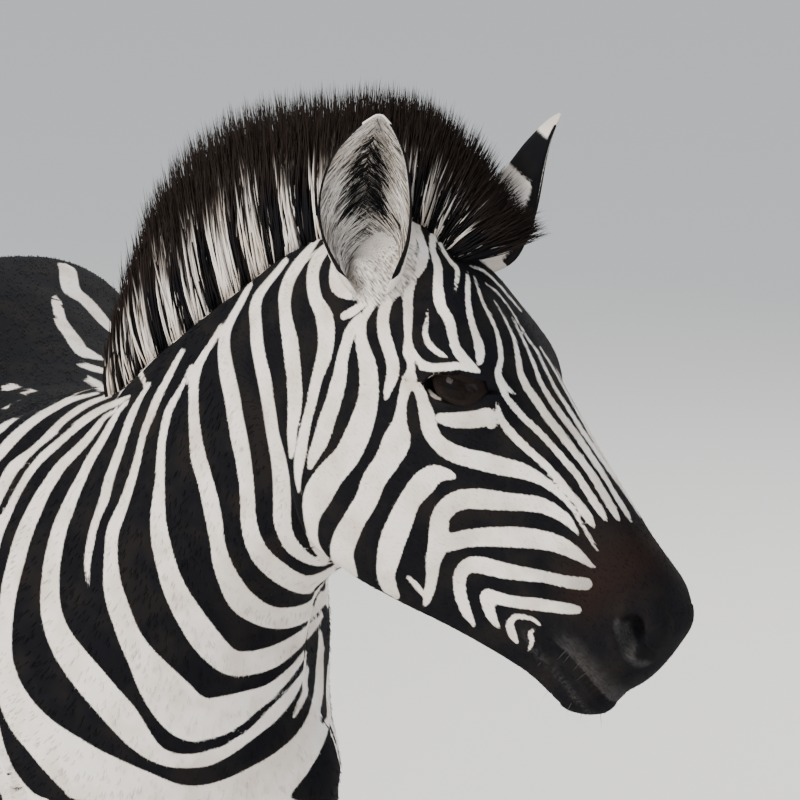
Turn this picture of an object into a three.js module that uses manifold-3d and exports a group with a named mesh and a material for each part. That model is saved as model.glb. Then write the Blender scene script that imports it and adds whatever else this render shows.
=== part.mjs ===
// A life-size plains zebra, standing still with its head turned to its left.
// Millimetres, +Z up, +X forward, +Y to the animal's left, hooves on z = 0.
//
// The body is one implicit form: tubes (trunk, neck, head, jaw, legs, dock) with tables of
// sections, joined by soft unions to ellipsoid muscles, less a few soft hollows. Each node of
// flesh is a stack of rings cast onto that form from inside, between plane cuts.
import * as THREE from "three";
import { mergeVertices } from "three/addons/utils/BufferGeometryUtils.js";
import Module from "manifold-3d";

const wasm = await Module();
wasm.setup();

// ---------------------------------------------------------------- driving dimensions
const GAP = 0.3; // left between pieces that meet
const SOFT_BODY = 60; // radius of blends between trunk, neck and limbs
const SOFT_MUSCLE = 45;
const SOFT_HEAD = 26;
const SOFT_HOLLOW = 10;

const POLL = new THREE.Vector3(838, 189, 1550); // top of the skull, between the ears
const HEAD_HEADING = 48; // degrees to the left of straight ahead
const HEAD_PITCH = 53.3; // degrees below level

const NECK_ROOT = new THREE.Vector3(500, 0, 1085);
const NECK_AIM = new THREE.Vector3(795, 150, 1430);

const FORE_X = 430; // cannon axis of the forelegs
const HIND_X = -548; // cannon axis of the hind legs
const STAGGER = 34; // each near hoof stands this far from its pair's middle
const FORE_TOP = 790; // the legs end here, inside the trunk
const HIND_TOP = 880;
const FORE_SOLE = 45; // half width of the soles
const HIND_SOLE = 42;
const HOOF_TOP = 68; // height of the coronet at the toe
const HEEL_TOP = 36; // height of the coronet at the heel
const HOOF_TOE = 92; // how far the sole reaches ahead of the cannon axis
const HOOF_HEEL = -22; // and behind it
const SOLE_POWER = 2.4; // squares the sole's outline off a little

const MANE_HEIGHT = 150;
const MANE_BASE = 46; // width where it leaves the crest
const MANE_EDGE = 13; // width along its tips

const EYE = { x: 176, y: 80, z: -36, long: 30, high: 22, deep: 24, slope: 35 };
const EAR_WIDTH = 94;
const EAR_WALL = 4.5;

const BARREL_MIDDLE = 985; // height of the line that the trunk's rings are cast from
const FURTHEST = 420; // no flesh is further than this from the line its rings are cast from
const HEAD_FURTHEST = 260;

const rad = THREE.MathUtils.degToRad;
const vec = (x, y, z) => new THREE.Vector3(x, y, z);

// ---------------------------------------------------------------- frames
// A frame has an origin and three unit directions: along a tube, to its side and up across it.
function frame(origin, along, side) {
  const a = along.clone().normalize();
  const s = side.clone().addScaledVector(a, -side.dot(a)).normalize();
  return { origin, along: a, side: s, up: new THREE.Vector3().crossVectors(a, s) };
}

const place = (f, along, side, up) =>
  f.origin.clone().addScaledVector(f.along, along).addScaledVector(f.side, side).addScaledVector(f.up, up);

const BODY = frame(vec(0, 0, 0), vec(1, 0, 0), vec(0, 1, 0));

// The head's frame: along the face from the poll to the nose, to its left, and out of the forehead.
const HEAD = frame(
  POLL,
  vec(
    Math.cos(rad(HEAD_PITCH)) * Math.cos(rad(HEAD_HEADING)),
    Math.cos(rad(HEAD_PITCH)) * Math.sin(rad(HEAD_HEADING)),
    -Math.sin(rad(HEAD_PITCH)),
  ),
  vec(-Math.sin(rad(HEAD_HEADING)), Math.cos(rad(HEAD_HEADING)), 0),
);

const NECK_LINE = new THREE.Vector3().subVectors(NECK_AIM, NECK_ROOT);
const NECK = frame(NECK_ROOT, NECK_LINE, vec(-NECK_LINE.y, NECK_LINE.x, 0));

// ---------------------------------------------------------------- tables of sections
// Along the tube: place of the section, shift to the side, top, bottom, half width.
const TRUNK_ROWS = [
  [-610, 0, 1215, 905, 150],
  [-560, 0, 1262, 850, 190],
  [-430, 0, 1303, 760, 226],
  [-280, 0, 1296, 692, 240],
  [-130, 0, 1266, 652, 262],
  [20, 0, 1246, 636, 277],
  [170, 0, 1250, 644, 270],
  [300, 0, 1278, 668, 238],
  [400, 0, 1298, 700, 205],
  [500, 0, 1262, 745, 178],
  [590, 0, 1150, 800, 140],
];
const NECK_ROWS = [
  [-120, -30, 150, -168, 150],
  [-40, -28, 172, -160, 145],
  [30, -10, 184, -142, 132],
  [110, 2, 186, -128, 120],
  [190, 0, 178, -134, 111],
  [270, 0, 164, -150, 102],
  [360, 0, 144, -150, 93],
  [450, 0, 122, -140, 82],
  [540, 6, 84, -110, 66],
];
const HEAD_ROWS = [
  [6, 0, -16, -130, 46],
  [30, 0, -4, -165, 58],
  [64, 0, 4, -190, 70],
  [120, 0, 11, -215, 79],
  [175, 0, 14, -225, 78],
  [240, 0, 11, -212, 68],
  [300, 0, 8, -186, 58],
  [360, 0, 7, -160, 50],
  [415, 0, 5, -142, 46],
  [452, 0, 0, -128, 45],
  [480, 0, -14, -118, 41],
];
const JAW_ROWS = [
  [128, 60, -130, -236, 20],
  [200, 58, -150, -284, 22],
  [259, 51, -140, -274, 21],
  [311, 43, -125, -248, 20],
  [361, 34, -112, -219, 20],
  [413, 24, -104, -193, 21],
  [455, 14, -100, -176, 23],
  [490, 6, -100, -164, 24],
];
// Up a leg: height, distance from the midline, front, back, half width.
const FORE_ROWS = [
  [800, 128, 78, -74, 46],
  [740, 127, 84, -80, 56],
  [680, 122, 68, -68, 55],
  [610, 117, 52, -56, 47],
  [540, 112, 42, -43, 39],
  [485, 109, 38, -37, 35],
  [448, 107, 42, -40, 38],
  [405, 106, 34, -32, 32],
  [350, 106, 26, -28, 23],
  [270, 106, 25, -28, 22],
  [215, 106, 27, -32, 25],
  [182, 106, 31, -38, 30],
  [148, 106, 33, -29, 28],
  [112, 106, 44, -15, 29],
  [78, 106, 58, -8, 35],
  [50, 106, 64, -16, 39],
];
const HIND_ROWS = [
  [900, 124, 190, -40, 78],
  [810, 126, 184, -44, 80],
  [740, 123, 156, -36, 70],
  [680, 118, 118, -30, 57],
  [620, 112, 82, -40, 45],
  [574, 109, 56, -66, 35],
  [540, 108, 45, -76, 33],
  [500, 107, 43, -62, 36],
  [458, 106, 39, -42, 36],
  [416, 106, 32, -33, 29],
  [350, 106, 28, -31, 23],
  [270, 106, 27, -30, 22],
  [220, 106, 29, -34, 25],
  [184, 106, 33, -41, 31],
  [150, 106, 35, -30, 29],
  [114, 106, 45, -16, 30],
  [80, 106, 59, -9, 36],
  [50, 106, 65, -17, 40],
];
// Muscles and bones that show: middle (forward, from the midline, up), radii, and a lean forward.
const BODY_MUSCLES = [
  { name: "scapula", at: [415, 128, 1075], radii: [120, 72, 190], lean: 18 },
  { name: "point of shoulder", at: [545, 118, 905], radii: [80, 68, 80], lean: 0 },
  { name: "triceps", at: [410, 150, 850], radii: [120, 68, 125], lean: -20 },
  { name: "elbow", at: [352, 138, 752], radii: [44, 40, 54], lean: 0 },
  { name: "breast", at: [560, 52, 850], radii: [88, 78, 100], lean: 0 },
  { name: "haunch", at: [-430, 110, 1120], radii: [205, 132, 172], lean: 0 },
  { name: "hip point", at: [-262, 172, 1196], radii: [48, 44, 52], lean: 0 },
  { name: "thigh", at: [-455, 128, 930], radii: [178, 104, 215], lean: 16 },
  { name: "stifle", at: [-362, 148, 800], radii: [62, 60, 92], lean: 0 },
  { name: "buttock", at: [-598, 72, 1040], radii: [78, 84, 165], lean: 0 },
];
const HEAD_MUSCLES = [
  { name: "masseter", at: [190, 56, -166], radii: [112, 27, 108], lean: 0 },
  { name: "orbit", at: [168, 64, -42], radii: [58, 33, 34], lean: 20 },
  { name: "brow", at: [150, 60, -24], radii: [50, 33, 16], lean: 0 },
  { name: "cheek arch", at: [95, 72, -62], radii: [84, 16, 20], lean: 0 },
  { name: "face crest", at: [290, 50, -92], radii: [100, 17, 16], lean: -6 },
  { name: "forehead", at: [118, 26, -32], radii: [80, 42, 31], lean: 0 },
  { name: "poll", at: [38, 0, -42], radii: [44, 50, 42], lean: 0 },
  { name: "nape side", at: [66, 42, -98], radii: [62, 38, 78], lean: 0 },
  { name: "muzzle", at: [440, 0, -66], radii: [60, 51, 64], lean: 0 },
  { name: "nostril rim", at: [460, 36, -40], radii: [36, 18, 30], lean: 0 },
  { name: "upper lip", at: [478, 0, -86], radii: [37, 43, 48], lean: 0 },
  { name: "lower lip", at: [480, 0, -142], radii: [42, 33, 24], lean: 12 },
];
const HEAD_HOLLOWS = [
  { name: "eye socket", at: [EYE.x, EYE.y + 14, EYE.z], radii: [33, 22, 20], lean: EYE.slope },
  { name: "nostril", at: [474, 50, -44], radii: [19, 16, 10], lean: -52 },
  { name: "temple", at: [84, 80, -22], radii: [30, 15, 16], lean: 0 },
];
const BODY_HOLLOWS = [
  { name: "flank", at: [-225, 268, 1080], radii: [90, 34, 120], lean: 12 },
  { name: "arm pit", at: [300, 0, 655], radii: [120, 60, 14], lean: 0 },
];

// ---------------------------------------------------------------- the implicit form
// A smooth curve through one column of a table, for any place along the tube.
function columnAt(rows, column, at) {
  const last = rows.length - 1;
  const t = THREE.MathUtils.clamp(at, rows[0][0], rows[last][0]);
  let i = 0;
  while (i < last - 1 && rows[i + 1][0] < t) i++;
  const slope = (j) => {
    const before = rows[Math.max(j - 1, 0)];
    const after = rows[Math.min(j + 1, last)];
    return (after[column] - before[column]) / (after[0] - before[0]);
  };
  const span = rows[i + 1][0] - rows[i][0];
  const u = (t - rows[i][0]) / span;
  const rise = u * u * (3 - 2 * u);
  return (
    rows[i][column] * (1 - rise) +
    rows[i + 1][column] * rise +
    span * (u * (1 - u) * (1 - u) * slope(i) - u * u * (1 - u) * slope(i + 1))
  );
}

// Tables run either way, so the search wants them rising.
const rising = (rows) => (rows[0][0] < rows[rows.length - 1][0] ? rows : [...rows].reverse());

// Roughly the distance to a tube: below zero inside it. power squares its sections off,
// and middle says how far up from its bottom a section is widest.
function tube(f, table, { power = 2.2, middle = 0.5, cap = 40, mirrored = false }) {
  const rows = rising(table);
  const first = rows[0][0];
  const end = rows[rows.length - 1][0];
  return (p) => {
    const d = vec(p.x - f.origin.x, p.y - f.origin.y, p.z - f.origin.z);
    const along = d.dot(f.along);
    const side = mirrored ? Math.abs(d.dot(f.side)) : d.dot(f.side);
    const top = columnAt(rows, 2, along);
    const bottom = columnAt(rows, 3, along);
    const centre = bottom + (top - bottom) * middle;
    const across = Math.abs(side - columnAt(rows, 1, along));
    const rise = d.dot(f.up) - centre;
    const half = columnAt(rows, 4, along);
    const tall = rise > 0 ? top - centre : centre - bottom;
    const q = Math.max(((across / half) ** power + (Math.abs(rise) / tall) ** power) ** (1 / power), 1e-3);
    const steep = Math.hypot(
      (across / half) ** (power - 1) / half,
      (Math.abs(rise) / tall) ** (power - 1) / tall,
    ) * q ** (1 - power);
    const past = Math.max(along - end, first - along, 0);
    if (past > 0) return (Math.hypot(q, past / cap) - 1) * Math.min(half, tall, cap);
    return (q - 1) / Math.max(steep, 1 / Math.max(half, tall));
  };
}

// Roughly the distance to an ellipsoid that is there on both sides of the midline.
function muscle(f, { at, radii, lean }) {
  const c = Math.cos(rad(lean));
  const s = Math.sin(rad(lean));
  return (p) => {
    const d = vec(p.x - f.origin.x, p.y - f.origin.y, p.z - f.origin.z);
    const x = d.dot(f.along) - at[0];
    const y = Math.abs(d.dot(f.side)) - at[1];
    const z = d.dot(f.up) - at[2];
    const along = (x * c + z * s) / radii[0];
    const across = y / radii[1];
    const up = (z * c - x * s) / radii[2];
    const q = Math.hypot(along, across, up);
    const steep = Math.hypot(along / radii[0], across / radii[1], up / radii[2]);
    return q < 1e-3 ? -Math.min(...radii) : (q * (q - 1)) / steep;
  };
}

const blend = (a, b, k) => {
  const h = Math.max(k - Math.abs(a - b), 0) / k;
  return Math.min(a, b) - (h * h * k) / 4;
};
const joinAll = (parts, k) => (p) => parts.reduce((d, part) => blend(d, part(p), k), 1e4);
const hollow = (solid, hole, k) => (p) => -blend(-solid(p), hole(p), k);

const trunkTube = tube(BODY, TRUNK_ROWS, { power: 2.25, middle: 0.46, cap: 80 });
const neckTube = tube(NECK, NECK_ROWS, { power: 2.0, middle: 0.42, cap: 40 });
const headTube = tube(HEAD, HEAD_ROWS, { power: 2.5, middle: 0.66, cap: 26 });
const jawTube = tube(HEAD, JAW_ROWS, { power: 2.2, cap: 16, mirrored: true });

// The body as far as the neck, and the head, each less its hollows.
const carve = (solid, hollows, f, k) =>
  hollows.map((m) => muscle(f, m)).reduce((left, hole) => hollow(left, hole, k), solid);
const bodyMuscles = joinAll(BODY_MUSCLES.map((m) => muscle(BODY, m)), SOFT_MUSCLE);
const bodyForm = carve(
  (p) => blend(blend(trunkTube(p), bodyMuscles(p), SOFT_MUSCLE), neckTube(p), SOFT_BODY),
  BODY_HOLLOWS,
  BODY,
  SOFT_BODY,
);
const headSolid = carve(
  joinAll([headTube, jawTube, ...HEAD_MUSCLES.map((m) => muscle(HEAD, m))], SOFT_HEAD),
  HEAD_HOLLOWS,
  HEAD,
  SOFT_HOLLOW,
);

// ---------------------------------------------------------------- rings and solids
// How far out along a ray a form ends, grown by more.
function reach(field, from, direction, furthest, more = 0) {
  const step = furthest / 40;
  const at = (r) => field(from.clone().addScaledVector(direction, r)) - more;
  let low = 0;
  while (low + step < furthest && at(low + step) < 0) low += step;
  let high = low + step;
  for (let i = 0; i < 14; i++) {
    const middle = (low + high) / 2;
    if (at(middle) < 0) low = middle;
    else high = middle;
  }
  return (low + high) / 2;
}

// One ring of points where a form meets the rays of a plane. A dome angle tips the rays forward.
function ring(field, station, count, more = 0) {
  const points = [];
  const dome = rad(station.dome ?? 0);
  const forward = new THREE.Vector3().crossVectors(station.side, station.up);
  for (let i = 0; i < count; i++) {
    const angle = (2 * Math.PI * (i + 0.5)) / count;
    const direction = station.side
      .clone()
      .multiplyScalar(Math.cos(angle))
      .addScaledVector(station.up, Math.sin(angle))
      .multiplyScalar(Math.cos(dome))
      .addScaledVector(forward, Math.sin(dome));
    const out = reach(field, station.centre, direction, station.furthest ?? FURTHEST, more);
    points.push(station.centre.clone().addScaledVector(direction, out));
  }
  return points;
}

// A closed solid through rings of equal count, with flat or pointed ends.
function loft(rings, startPoint, endPoint) {
  const count = rings[0].length;
  const middle = (points) =>
    points.reduce((sum, p) => sum.add(p), vec(0, 0, 0)).multiplyScalar(1 / points.length);
  const ends = [startPoint ?? middle(rings[0]), endPoint ?? middle(rings[rings.length - 1])];
  const corners = [...rings.flat(), ...ends];
  const start = rings.length * count;
  const faces = [];
  for (let i = 0; i < count; i++) {
    const j = (i + 1) % count;
    faces.push(start, j, i);
    for (let r = 0; r + 1 < rings.length; r++) {
      const a = r * count;
      const b = a + count;
      faces.push(a + i, a + j, b + j, a + i, b + j, b + i);
    }
    const last = (rings.length - 1) * count;
    faces.push(start + 1, last + i, last + j);
  }
  const geometry = new THREE.BufferGeometry();
  const places = corners.flatMap((p) => p.toArray());
  geometry.setAttribute("position", new THREE.Float32BufferAttribute(places, 3));
  geometry.setIndex(faces);
  return outward(geometry);
}

// The geometry as a solid with its faces pointing out.
function solid(geometry) {
  const bare = geometry.clone();
  bare.deleteAttribute("normal");
  bare.deleteAttribute("uv");
  const merged = mergeVertices(bare, 1e-3);
  return new wasm.Manifold(
    new wasm.Mesh({
      numProp: 3,
      vertProperties: new Float32Array(merged.attributes.position.array),
      triVerts: new Uint32Array(merged.index.array),
    }),
  );
}

function outward(geometry) {
  if (solid(geometry).volume() > 0) return geometry;
  const index = geometry.index.array;
  for (let i = 0; i < index.length; i += 3) [index[i + 1], index[i + 2]] = [index[i + 2], index[i + 1]];
  return geometry;
}

function fromSolid(made) {
  const mesh = made.getMesh();
  const geometry = new THREE.BufferGeometry();
  geometry.setAttribute("position", new THREE.BufferAttribute(new Float32Array(mesh.vertProperties), 3));
  geometry.setIndex(new THREE.BufferAttribute(new Uint32Array(mesh.triVerts), 1));
  return geometry;
}

// The largest piece left after a cut, so that no crumb stays beside it.
function largest(made) {
  return made.decompose().sort((a, b) => b.volume() - a.volume())[0];
}

const cut = (geometry, ...tools) =>
  fromSolid(largest(tools.reduce((left, tool) => left.subtract(solid(tool)), solid(geometry))));

// ---------------------------------------------------------------- stations along the body
// A station is a plane that rings are cast in: its middle, its side and its up direction.
const bodyStation = (x, z, extra = {}) => ({
  centre: vec(x, 0, z),
  side: vec(0, 1, 0),
  up: vec(0, 0, 1),
  ...extra,
});
const headStation = (x, z, extra = {}) => ({
  centre: place(HEAD, x, 0, z),
  side: HEAD.side.clone(),
  up: HEAD.up.clone(),
  furthest: HEAD_FURTHEST,
  ...extra,
});
const neckStation = (t, u, extra = {}) => ({
  centre: place(NECK, t, 0, u),
  side: NECK.side.clone(),
  up: NECK.up.clone(),
  ...extra,
});

// A station part of the way from one to another.
function between(a, b, t) {
  const centre = a.centre.clone().lerp(b.centre, t);
  const side = a.side.clone().lerp(b.side, t).normalize();
  const up = a.up.clone().lerp(b.up, t);
  up.addScaledVector(side, -up.dot(side)).normalize();
  return { centre, side, up };
}

// A station moved along its own normal.
function shifted(station, distance) {
  const forward = new THREE.Vector3().crossVectors(station.side, station.up);
  return { ...station, centre: station.centre.clone().addScaledVector(forward, distance) };
}

// The neck leaves the trunk at a plane that leans back, from the withers to the breast.
const NECK_CUT_LEAN = rad(24.5);
const NECK_CUT = bodyStation(537, 1062, { up: vec(-Math.sin(NECK_CUT_LEAN), 0, Math.cos(NECK_CUT_LEAN)) });

// ---------------------------------------------------------------- flesh
const TRUNK_COUNT = 28; // points in each ring
const NECK_COUNT = 28;
const HEAD_COUNT = 36;
const FAN = 6; // rings between two stations that lean differently

// The trunk, from the buttocks to the neck cut, grown by more.
function makeTrunk(more = 0) {
  const rump = [-78, -60, -44, -28, -14].map((dome) => bodyStation(-520, 1030, { dome }));
  const barrel = [-500, -455, -405, -350, -295, -240, -180, -110, -30, 50, 130, 200, 255, 305];
  const stations = [...rump, ...barrel.map((x) => bodyStation(x, BARREL_MIDDLE))];
  const shoulder = bodyStation(305, BARREL_MIDDLE);
  for (let i = 1; i < FAN; i++) stations.push(between(shoulder, NECK_CUT, i / FAN));
  stations.push(shifted(NECK_CUT, -GAP / 2));
  const rings = stations.map((station) => ring(bodyForm, station, TRUNK_COUNT, more));
  const centre = rump[0].centre;
  const backward = vec(-1, 0, 0);
  const buttock = centre.clone().addScaledVector(backward, reach(bodyForm, centre, backward, 300, more));
  return loft(rings, buttock);
}

function makeNeck(more = 0) {
  const stations = [shifted(NECK_CUT, GAP / 2 - more)];
  const middle = neckStation(270, 6);
  for (let i = 1; i <= FAN; i++) stations.push(between(NECK_CUT, middle, i / FAN));
  for (const t of [310, 355, 400, 445]) {
    stations.push(neckStation(t, THREE.MathUtils.mapLinear(t, 270, 445, 6, -6)));
  }
  for (const dome of [30, 60]) stations.push(neckStation(460, -6, { dome }));
  const centre = stations[stations.length - 1].centre;
  const end = centre.clone().addScaledVector(NECK.along, reach(bodyForm, centre, NECK.along, 300, more));
  return loft(stations.map((station) => ring(bodyForm, station, NECK_COUNT, more)), undefined, end);
}

function makeHead(more = 0) {
  const rearX = 62;
  const rearZ = -110;
  const stations = [-72, -48, -24].map((dome) => headStation(rearX, rearZ, { dome }));
  for (const x of [62, 88, 110, 128, 145, 162, 180, 200, 222, 248, 278, 308, 338, 366, 392, 414, 432]) {
    stations.push(headStation(x, THREE.MathUtils.mapLinear(x, rearX, 440, rearZ - 16, -82)));
  }
  const muzzle = [0, 12, 23, 33, 42, 51, 61, 72, 82].map((dome) => headStation(446, -80, { dome }));
  stations.push(...muzzle);
  const end = (centre, sign) => {
    const direction = HEAD.along.clone().multiplyScalar(sign);
    return centre.clone().addScaledVector(direction, reach(headSolid, centre, direction, 200, more));
  };
  return loft(
    stations.map((station) => ring(headSolid, station, HEAD_COUNT, more)),
    end(stations[0].centre, -1),
    end(muzzle[0].centre, 1),
  );
}

// ---------------------------------------------------------------- legs and hooves
const LEG_COUNT = 16;
const FOOT = (HOOF_TOP + HEEL_TOP) / 2; // mean height of the coronet
const CORONET_SLOPE = (HOOF_TOP - HEEL_TOP) / 80;

const around = (count, pointAt) =>
  Array.from({ length: count }, (_, i) => pointAt((2 * Math.PI * (i + 0.5)) / count));

// A leg: level sections from the coronet to inside the body, shifted forward at the foot by step.
function makeLeg(table, x, sign, step, topZ) {
  const rows = rising(table);
  const levels = [FOOT + GAP];
  for (const [z] of rows) {
    const below = levels[levels.length - 1];
    if (z <= HOOF_TOP || z >= topZ) continue;
    if (z - below > 70) levels.push((z + below) / 2);
    levels.push(z);
  }
  levels.push(topZ);
  const rings = levels.map((z) => {
    const [away, front, back, half] = [1, 2, 3, 4].map((column) => columnAt(rows, column, z));
    const tilt = CORONET_SLOPE * THREE.MathUtils.clamp(1 - (z - FOOT) / 60, 0, 1);
    const shift = step * THREE.MathUtils.smoothstep(topZ - z, 0, topZ - HOOF_TOP);
    return around(LEG_COUNT, (angle) => {
      const forward = ((front - back) / 2) * Math.cos(angle);
      const centre = x + shift + (front + back) / 2;
      return vec(centre + forward, sign * away + half * Math.sin(angle), z + tilt * forward);
    });
  });
  return loft(rings);
}

// A hoof: a frustum whose top follows the coronet and whose sole is flat on the ground.
function makeHoof(table, x, sign, step, half) {
  const rows = rising(table);
  const [away, topFront, topBack, topHalf] = [1, 2, 3, 4].map((column) => columnAt(rows, column, FOOT));
  const rings = [0, 0.45, 0.86, 1].map((t) => {
    const band = t > 0.8 && t < 1 ? 2 : 0;
    const front = THREE.MathUtils.lerp(HOOF_TOE, topFront, t) + band;
    const back = THREE.MathUtils.lerp(HOOF_HEEL, topBack, t) - band;
    const wide = THREE.MathUtils.lerp(half, topHalf, t) + band;
    return around(LEG_COUNT, (angle) => {
      const square = Math.abs(Math.cos(angle)) ** SOLE_POWER + Math.abs(Math.sin(angle)) ** SOLE_POWER;
      const out = square ** (-(1 - t) / SOLE_POWER);
      const forward = ((front - back) / 2) * Math.cos(angle) * out;
      const centre = x + step + (front + back) / 2;
      const height = t * (FOOT + CORONET_SLOPE * forward);
      return vec(centre + forward, sign * away + wide * Math.sin(angle) * out, height);
    });
  });
  return loft(rings);
}

// ---------------------------------------------------------------- eyes and ears
function makeEye(sideSign) {
  const geometry = new THREE.SphereGeometry(1, 14, 9);
  geometry.scale(EYE.long, EYE.deep, EYE.high);
  geometry.rotateY(-rad(EYE.slope));
  geometry.translate(EYE.x, 0, EYE.z);
  const turned = new THREE.Matrix4().makeBasis(HEAD.along, HEAD.side, HEAD.up).setPosition(POLL);
  geometry.translate(0, sideSign * EYE.y, 0);
  geometry.applyMatrix4(turned);
  return geometry;
}

// Width of an ear's leaf and how far it wraps round, from its root (0) to its tip (1).
const EAR_ROWS = [
  [0, 0.62, 150],
  [0.12, 0.8, 138],
  [0.3, 0.98, 112],
  [0.5, 1.0, 92],
  [0.7, 0.84, 76],
  [0.85, 0.56, 68],
  [0.95, 0.3, 64],
  [1, 0.12, 62],
];

// An ear: a cupped leaf with an outer and an inner wall, open towards facing. Half way up, bow
// shifts it across and belly shifts it towards its opening.
function makeEar({ base, tip, facing, bow, belly }) {
  const along = new THREE.Vector3().subVectors(tip, base).normalize();
  const open = facing.clone().addScaledVector(along, -facing.dot(along)).normalize();
  const across = new THREE.Vector3().crossVectors(along, open);
  const arc = 8;
  const rings = [0, 0.12, 0.26, 0.42, 0.58, 0.72, 0.84, 0.94, 1].map((v) => {
    const wrap = rad(columnAt(EAR_ROWS, 2, v));
    const radius = (EAR_WIDTH * columnAt(EAR_ROWS, 1, v)) / 2 / Math.sin(Math.min(wrap, Math.PI / 2));
    const inner = Math.max(radius - EAR_WALL, radius * 0.45);
    const rise = Math.sin(Math.PI * v);
    const centre = base.clone().lerp(tip, v).addScaledVector(across, bow * rise);
    centre.addScaledVector(open, radius * 0.35 + belly * rise);
    return Array.from({ length: 2 * arc }, (_, i) => {
      const share = (i % arc) / (arc - 1);
      const outside = i < arc;
      const angle = outside ? wrap * (2 * share - 1) : wrap * (1 - 2 * share) * 0.96;
      const r = outside ? radius : inner;
      return centre
        .clone()
        .addScaledVector(across, r * Math.sin(angle))
        .addScaledVector(open, -r * Math.cos(angle));
    });
  });
  return loft(rings);
}

// ---------------------------------------------------------------- mane, forelock and tail
const crestPoint = (t) => place(NECK, t, columnAt(NECK_ROWS, 1, t) * 0.4, columnAt(NECK_ROWS, 2, t) - 12);
const neckLean = (degrees) =>
  NECK.up.clone().multiplyScalar(Math.cos(rad(degrees))).addScaledVector(NECK.along, Math.sin(rad(degrees)));
// Root, direction of the hair and height, from the withers to the forehead.
const MANE_ROWS = [
  { root: crestPoint(98), lean: neckLean(44), height: 0.68 },
  { root: crestPoint(150), lean: neckLean(37), height: 0.92 },
  { root: crestPoint(215), lean: neckLean(33), height: 1.17 },
  { root: crestPoint(290), lean: neckLean(31), height: 1.31 },
  { root: crestPoint(370), lean: neckLean(32), height: 1.3 },
  { root: crestPoint(450), lean: neckLean(38), height: 1.15 },
  { root: crestPoint(520), lean: neckLean(49), height: 1.04 },
  { root: place(HEAD, 2, 0, -16), lean: vec(0.0, 0.05, 1), height: 0.87 },
  { root: place(HEAD, 30, 0, -6), lean: vec(0.2, 0.3, 0.92), height: 0.79 },
  { root: place(HEAD, 50, 0, -2), lean: vec(0.38, 0.57, 0.72), height: 0.67 },
  { root: place(HEAD, 68, 0, 0), lean: vec(0.48, 0.8, 0.38), height: 0.68 },
];

// A wedge of hair from its roots to its tips.
function makeHair(rows, pieces) {
  const roots = new THREE.CatmullRomCurve3(rows.map((row) => row.root));
  const tips = new THREE.CatmullRomCurve3(
    rows.map((row) => row.root.clone().addScaledVector(row.lean.clone().normalize(), row.height * MANE_HEIGHT)),
  );
  const rings = [];
  for (let i = 0; i <= pieces; i++) {
    const root = roots.getPoint(i / pieces);
    const tip = tips.getPoint(i / pieces);
    const ahead = roots.getTangent(i / pieces);
    const rise = new THREE.Vector3().subVectors(tip, root);
    const side = new THREE.Vector3().crossVectors(rise, ahead).normalize();
    const profile = [
      [0, MANE_BASE / 2],
      [0.35, MANE_BASE * 0.42],
      [0.7, MANE_BASE * 0.28],
      [1, MANE_EDGE / 2],
    ];
    const wall = (sign) =>
      profile.map(([t, half]) => root.clone().addScaledVector(rise, t).addScaledVector(side, sign * half));
    rings.push([...wall(1), ...wall(-1).reverse()]);
  }
  return loft(rings);
}

const TAIL_PATH = new THREE.CatmullRomCurve3([
  vec(-585, 0, 1176),
  vec(-654, 0, 1178),
  vec(-700, 0, 1100),
  vec(-716, 0, 970),
  vec(-712, 0, 830),
]);
const TUFT_PATH = new THREE.CatmullRomCurve3([
  vec(-712, 0, 828),
  vec(-708, 0, 700),
  vec(-700, 0, 580),
  vec(-694, 0, 470),
]);
const dockRadius = (t) => 30 - 13 * t;
const tuftRadius = (t) => 17 + 26 * Math.sin(Math.PI * Math.min(t * 0.75 + 0.02, 1)) - 12 * t;

// A round rod along a curve in the midline plane, with a radius for each share of its length.
function rod(path, pieces, count, radiusAt) {
  const rings = [];
  for (let i = 0; i <= pieces; i++) {
    const t = i / pieces;
    const ahead = path.getTangent(t);
    const side = vec(0, 1, 0);
    const across = new THREE.Vector3().crossVectors(ahead, side);
    const radius = radiusAt(t);
    rings.push(
      Array.from({ length: count }, (_, k) => {
        const angle = (2 * Math.PI * k) / count;
        return path
          .getPoint(t)
          .addScaledVector(side, radius * Math.cos(angle))
          .addScaledVector(across, radius * Math.sin(angle));
      }),
    );
  }
  return loft(rings);
}

// ---------------------------------------------------------------- the model
const material = (color, roughness) => new THREE.MeshStandardMaterial({ color, roughness, metalness: 0 });
const COATED = material("#8d8781", 0.8);
const DARK_HAIR = material("#241f1e", 0.7);
const EYE_DARK = material("#120c0a", 0.1);
const HORN = material("#3a332e", 0.5);

const model = new THREE.Group();
function add(name, geometry, finish) {
  const mesh = new THREE.Mesh(geometry, finish);
  mesh.name = name;
  model.add(mesh);
}

const trunkCutter = makeTrunk(GAP);
const headCutter = makeHead(GAP);
const neckCutter = makeNeck(GAP);

add("trunk", makeTrunk(), COATED);
add("neck", cut(makeNeck(), headCutter), COATED);
add("head", makeHead(), COATED);

for (const [side, sign] of [["left", 1], ["right", -1]]) {
  const fore = sign * STAGGER;
  const hind = -sign * STAGGER;
  add(`foreleg_${side}`, cut(makeLeg(FORE_ROWS, FORE_X, sign, fore, FORE_TOP), trunkCutter), COATED);
  add(`hindleg_${side}`, cut(makeLeg(HIND_ROWS, HIND_X, sign, hind, HIND_TOP), trunkCutter), COATED);
  add(`hoof_fore_${side}`, makeHoof(FORE_ROWS, FORE_X, sign, fore, FORE_SOLE), HORN);
  add(`hoof_hind_${side}`, makeHoof(HIND_ROWS, HIND_X, sign, hind, HIND_SOLE), HORN);
  add(`eye_${side}`, cut(makeEye(sign), headCutter), EYE_DARK);
}

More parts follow.
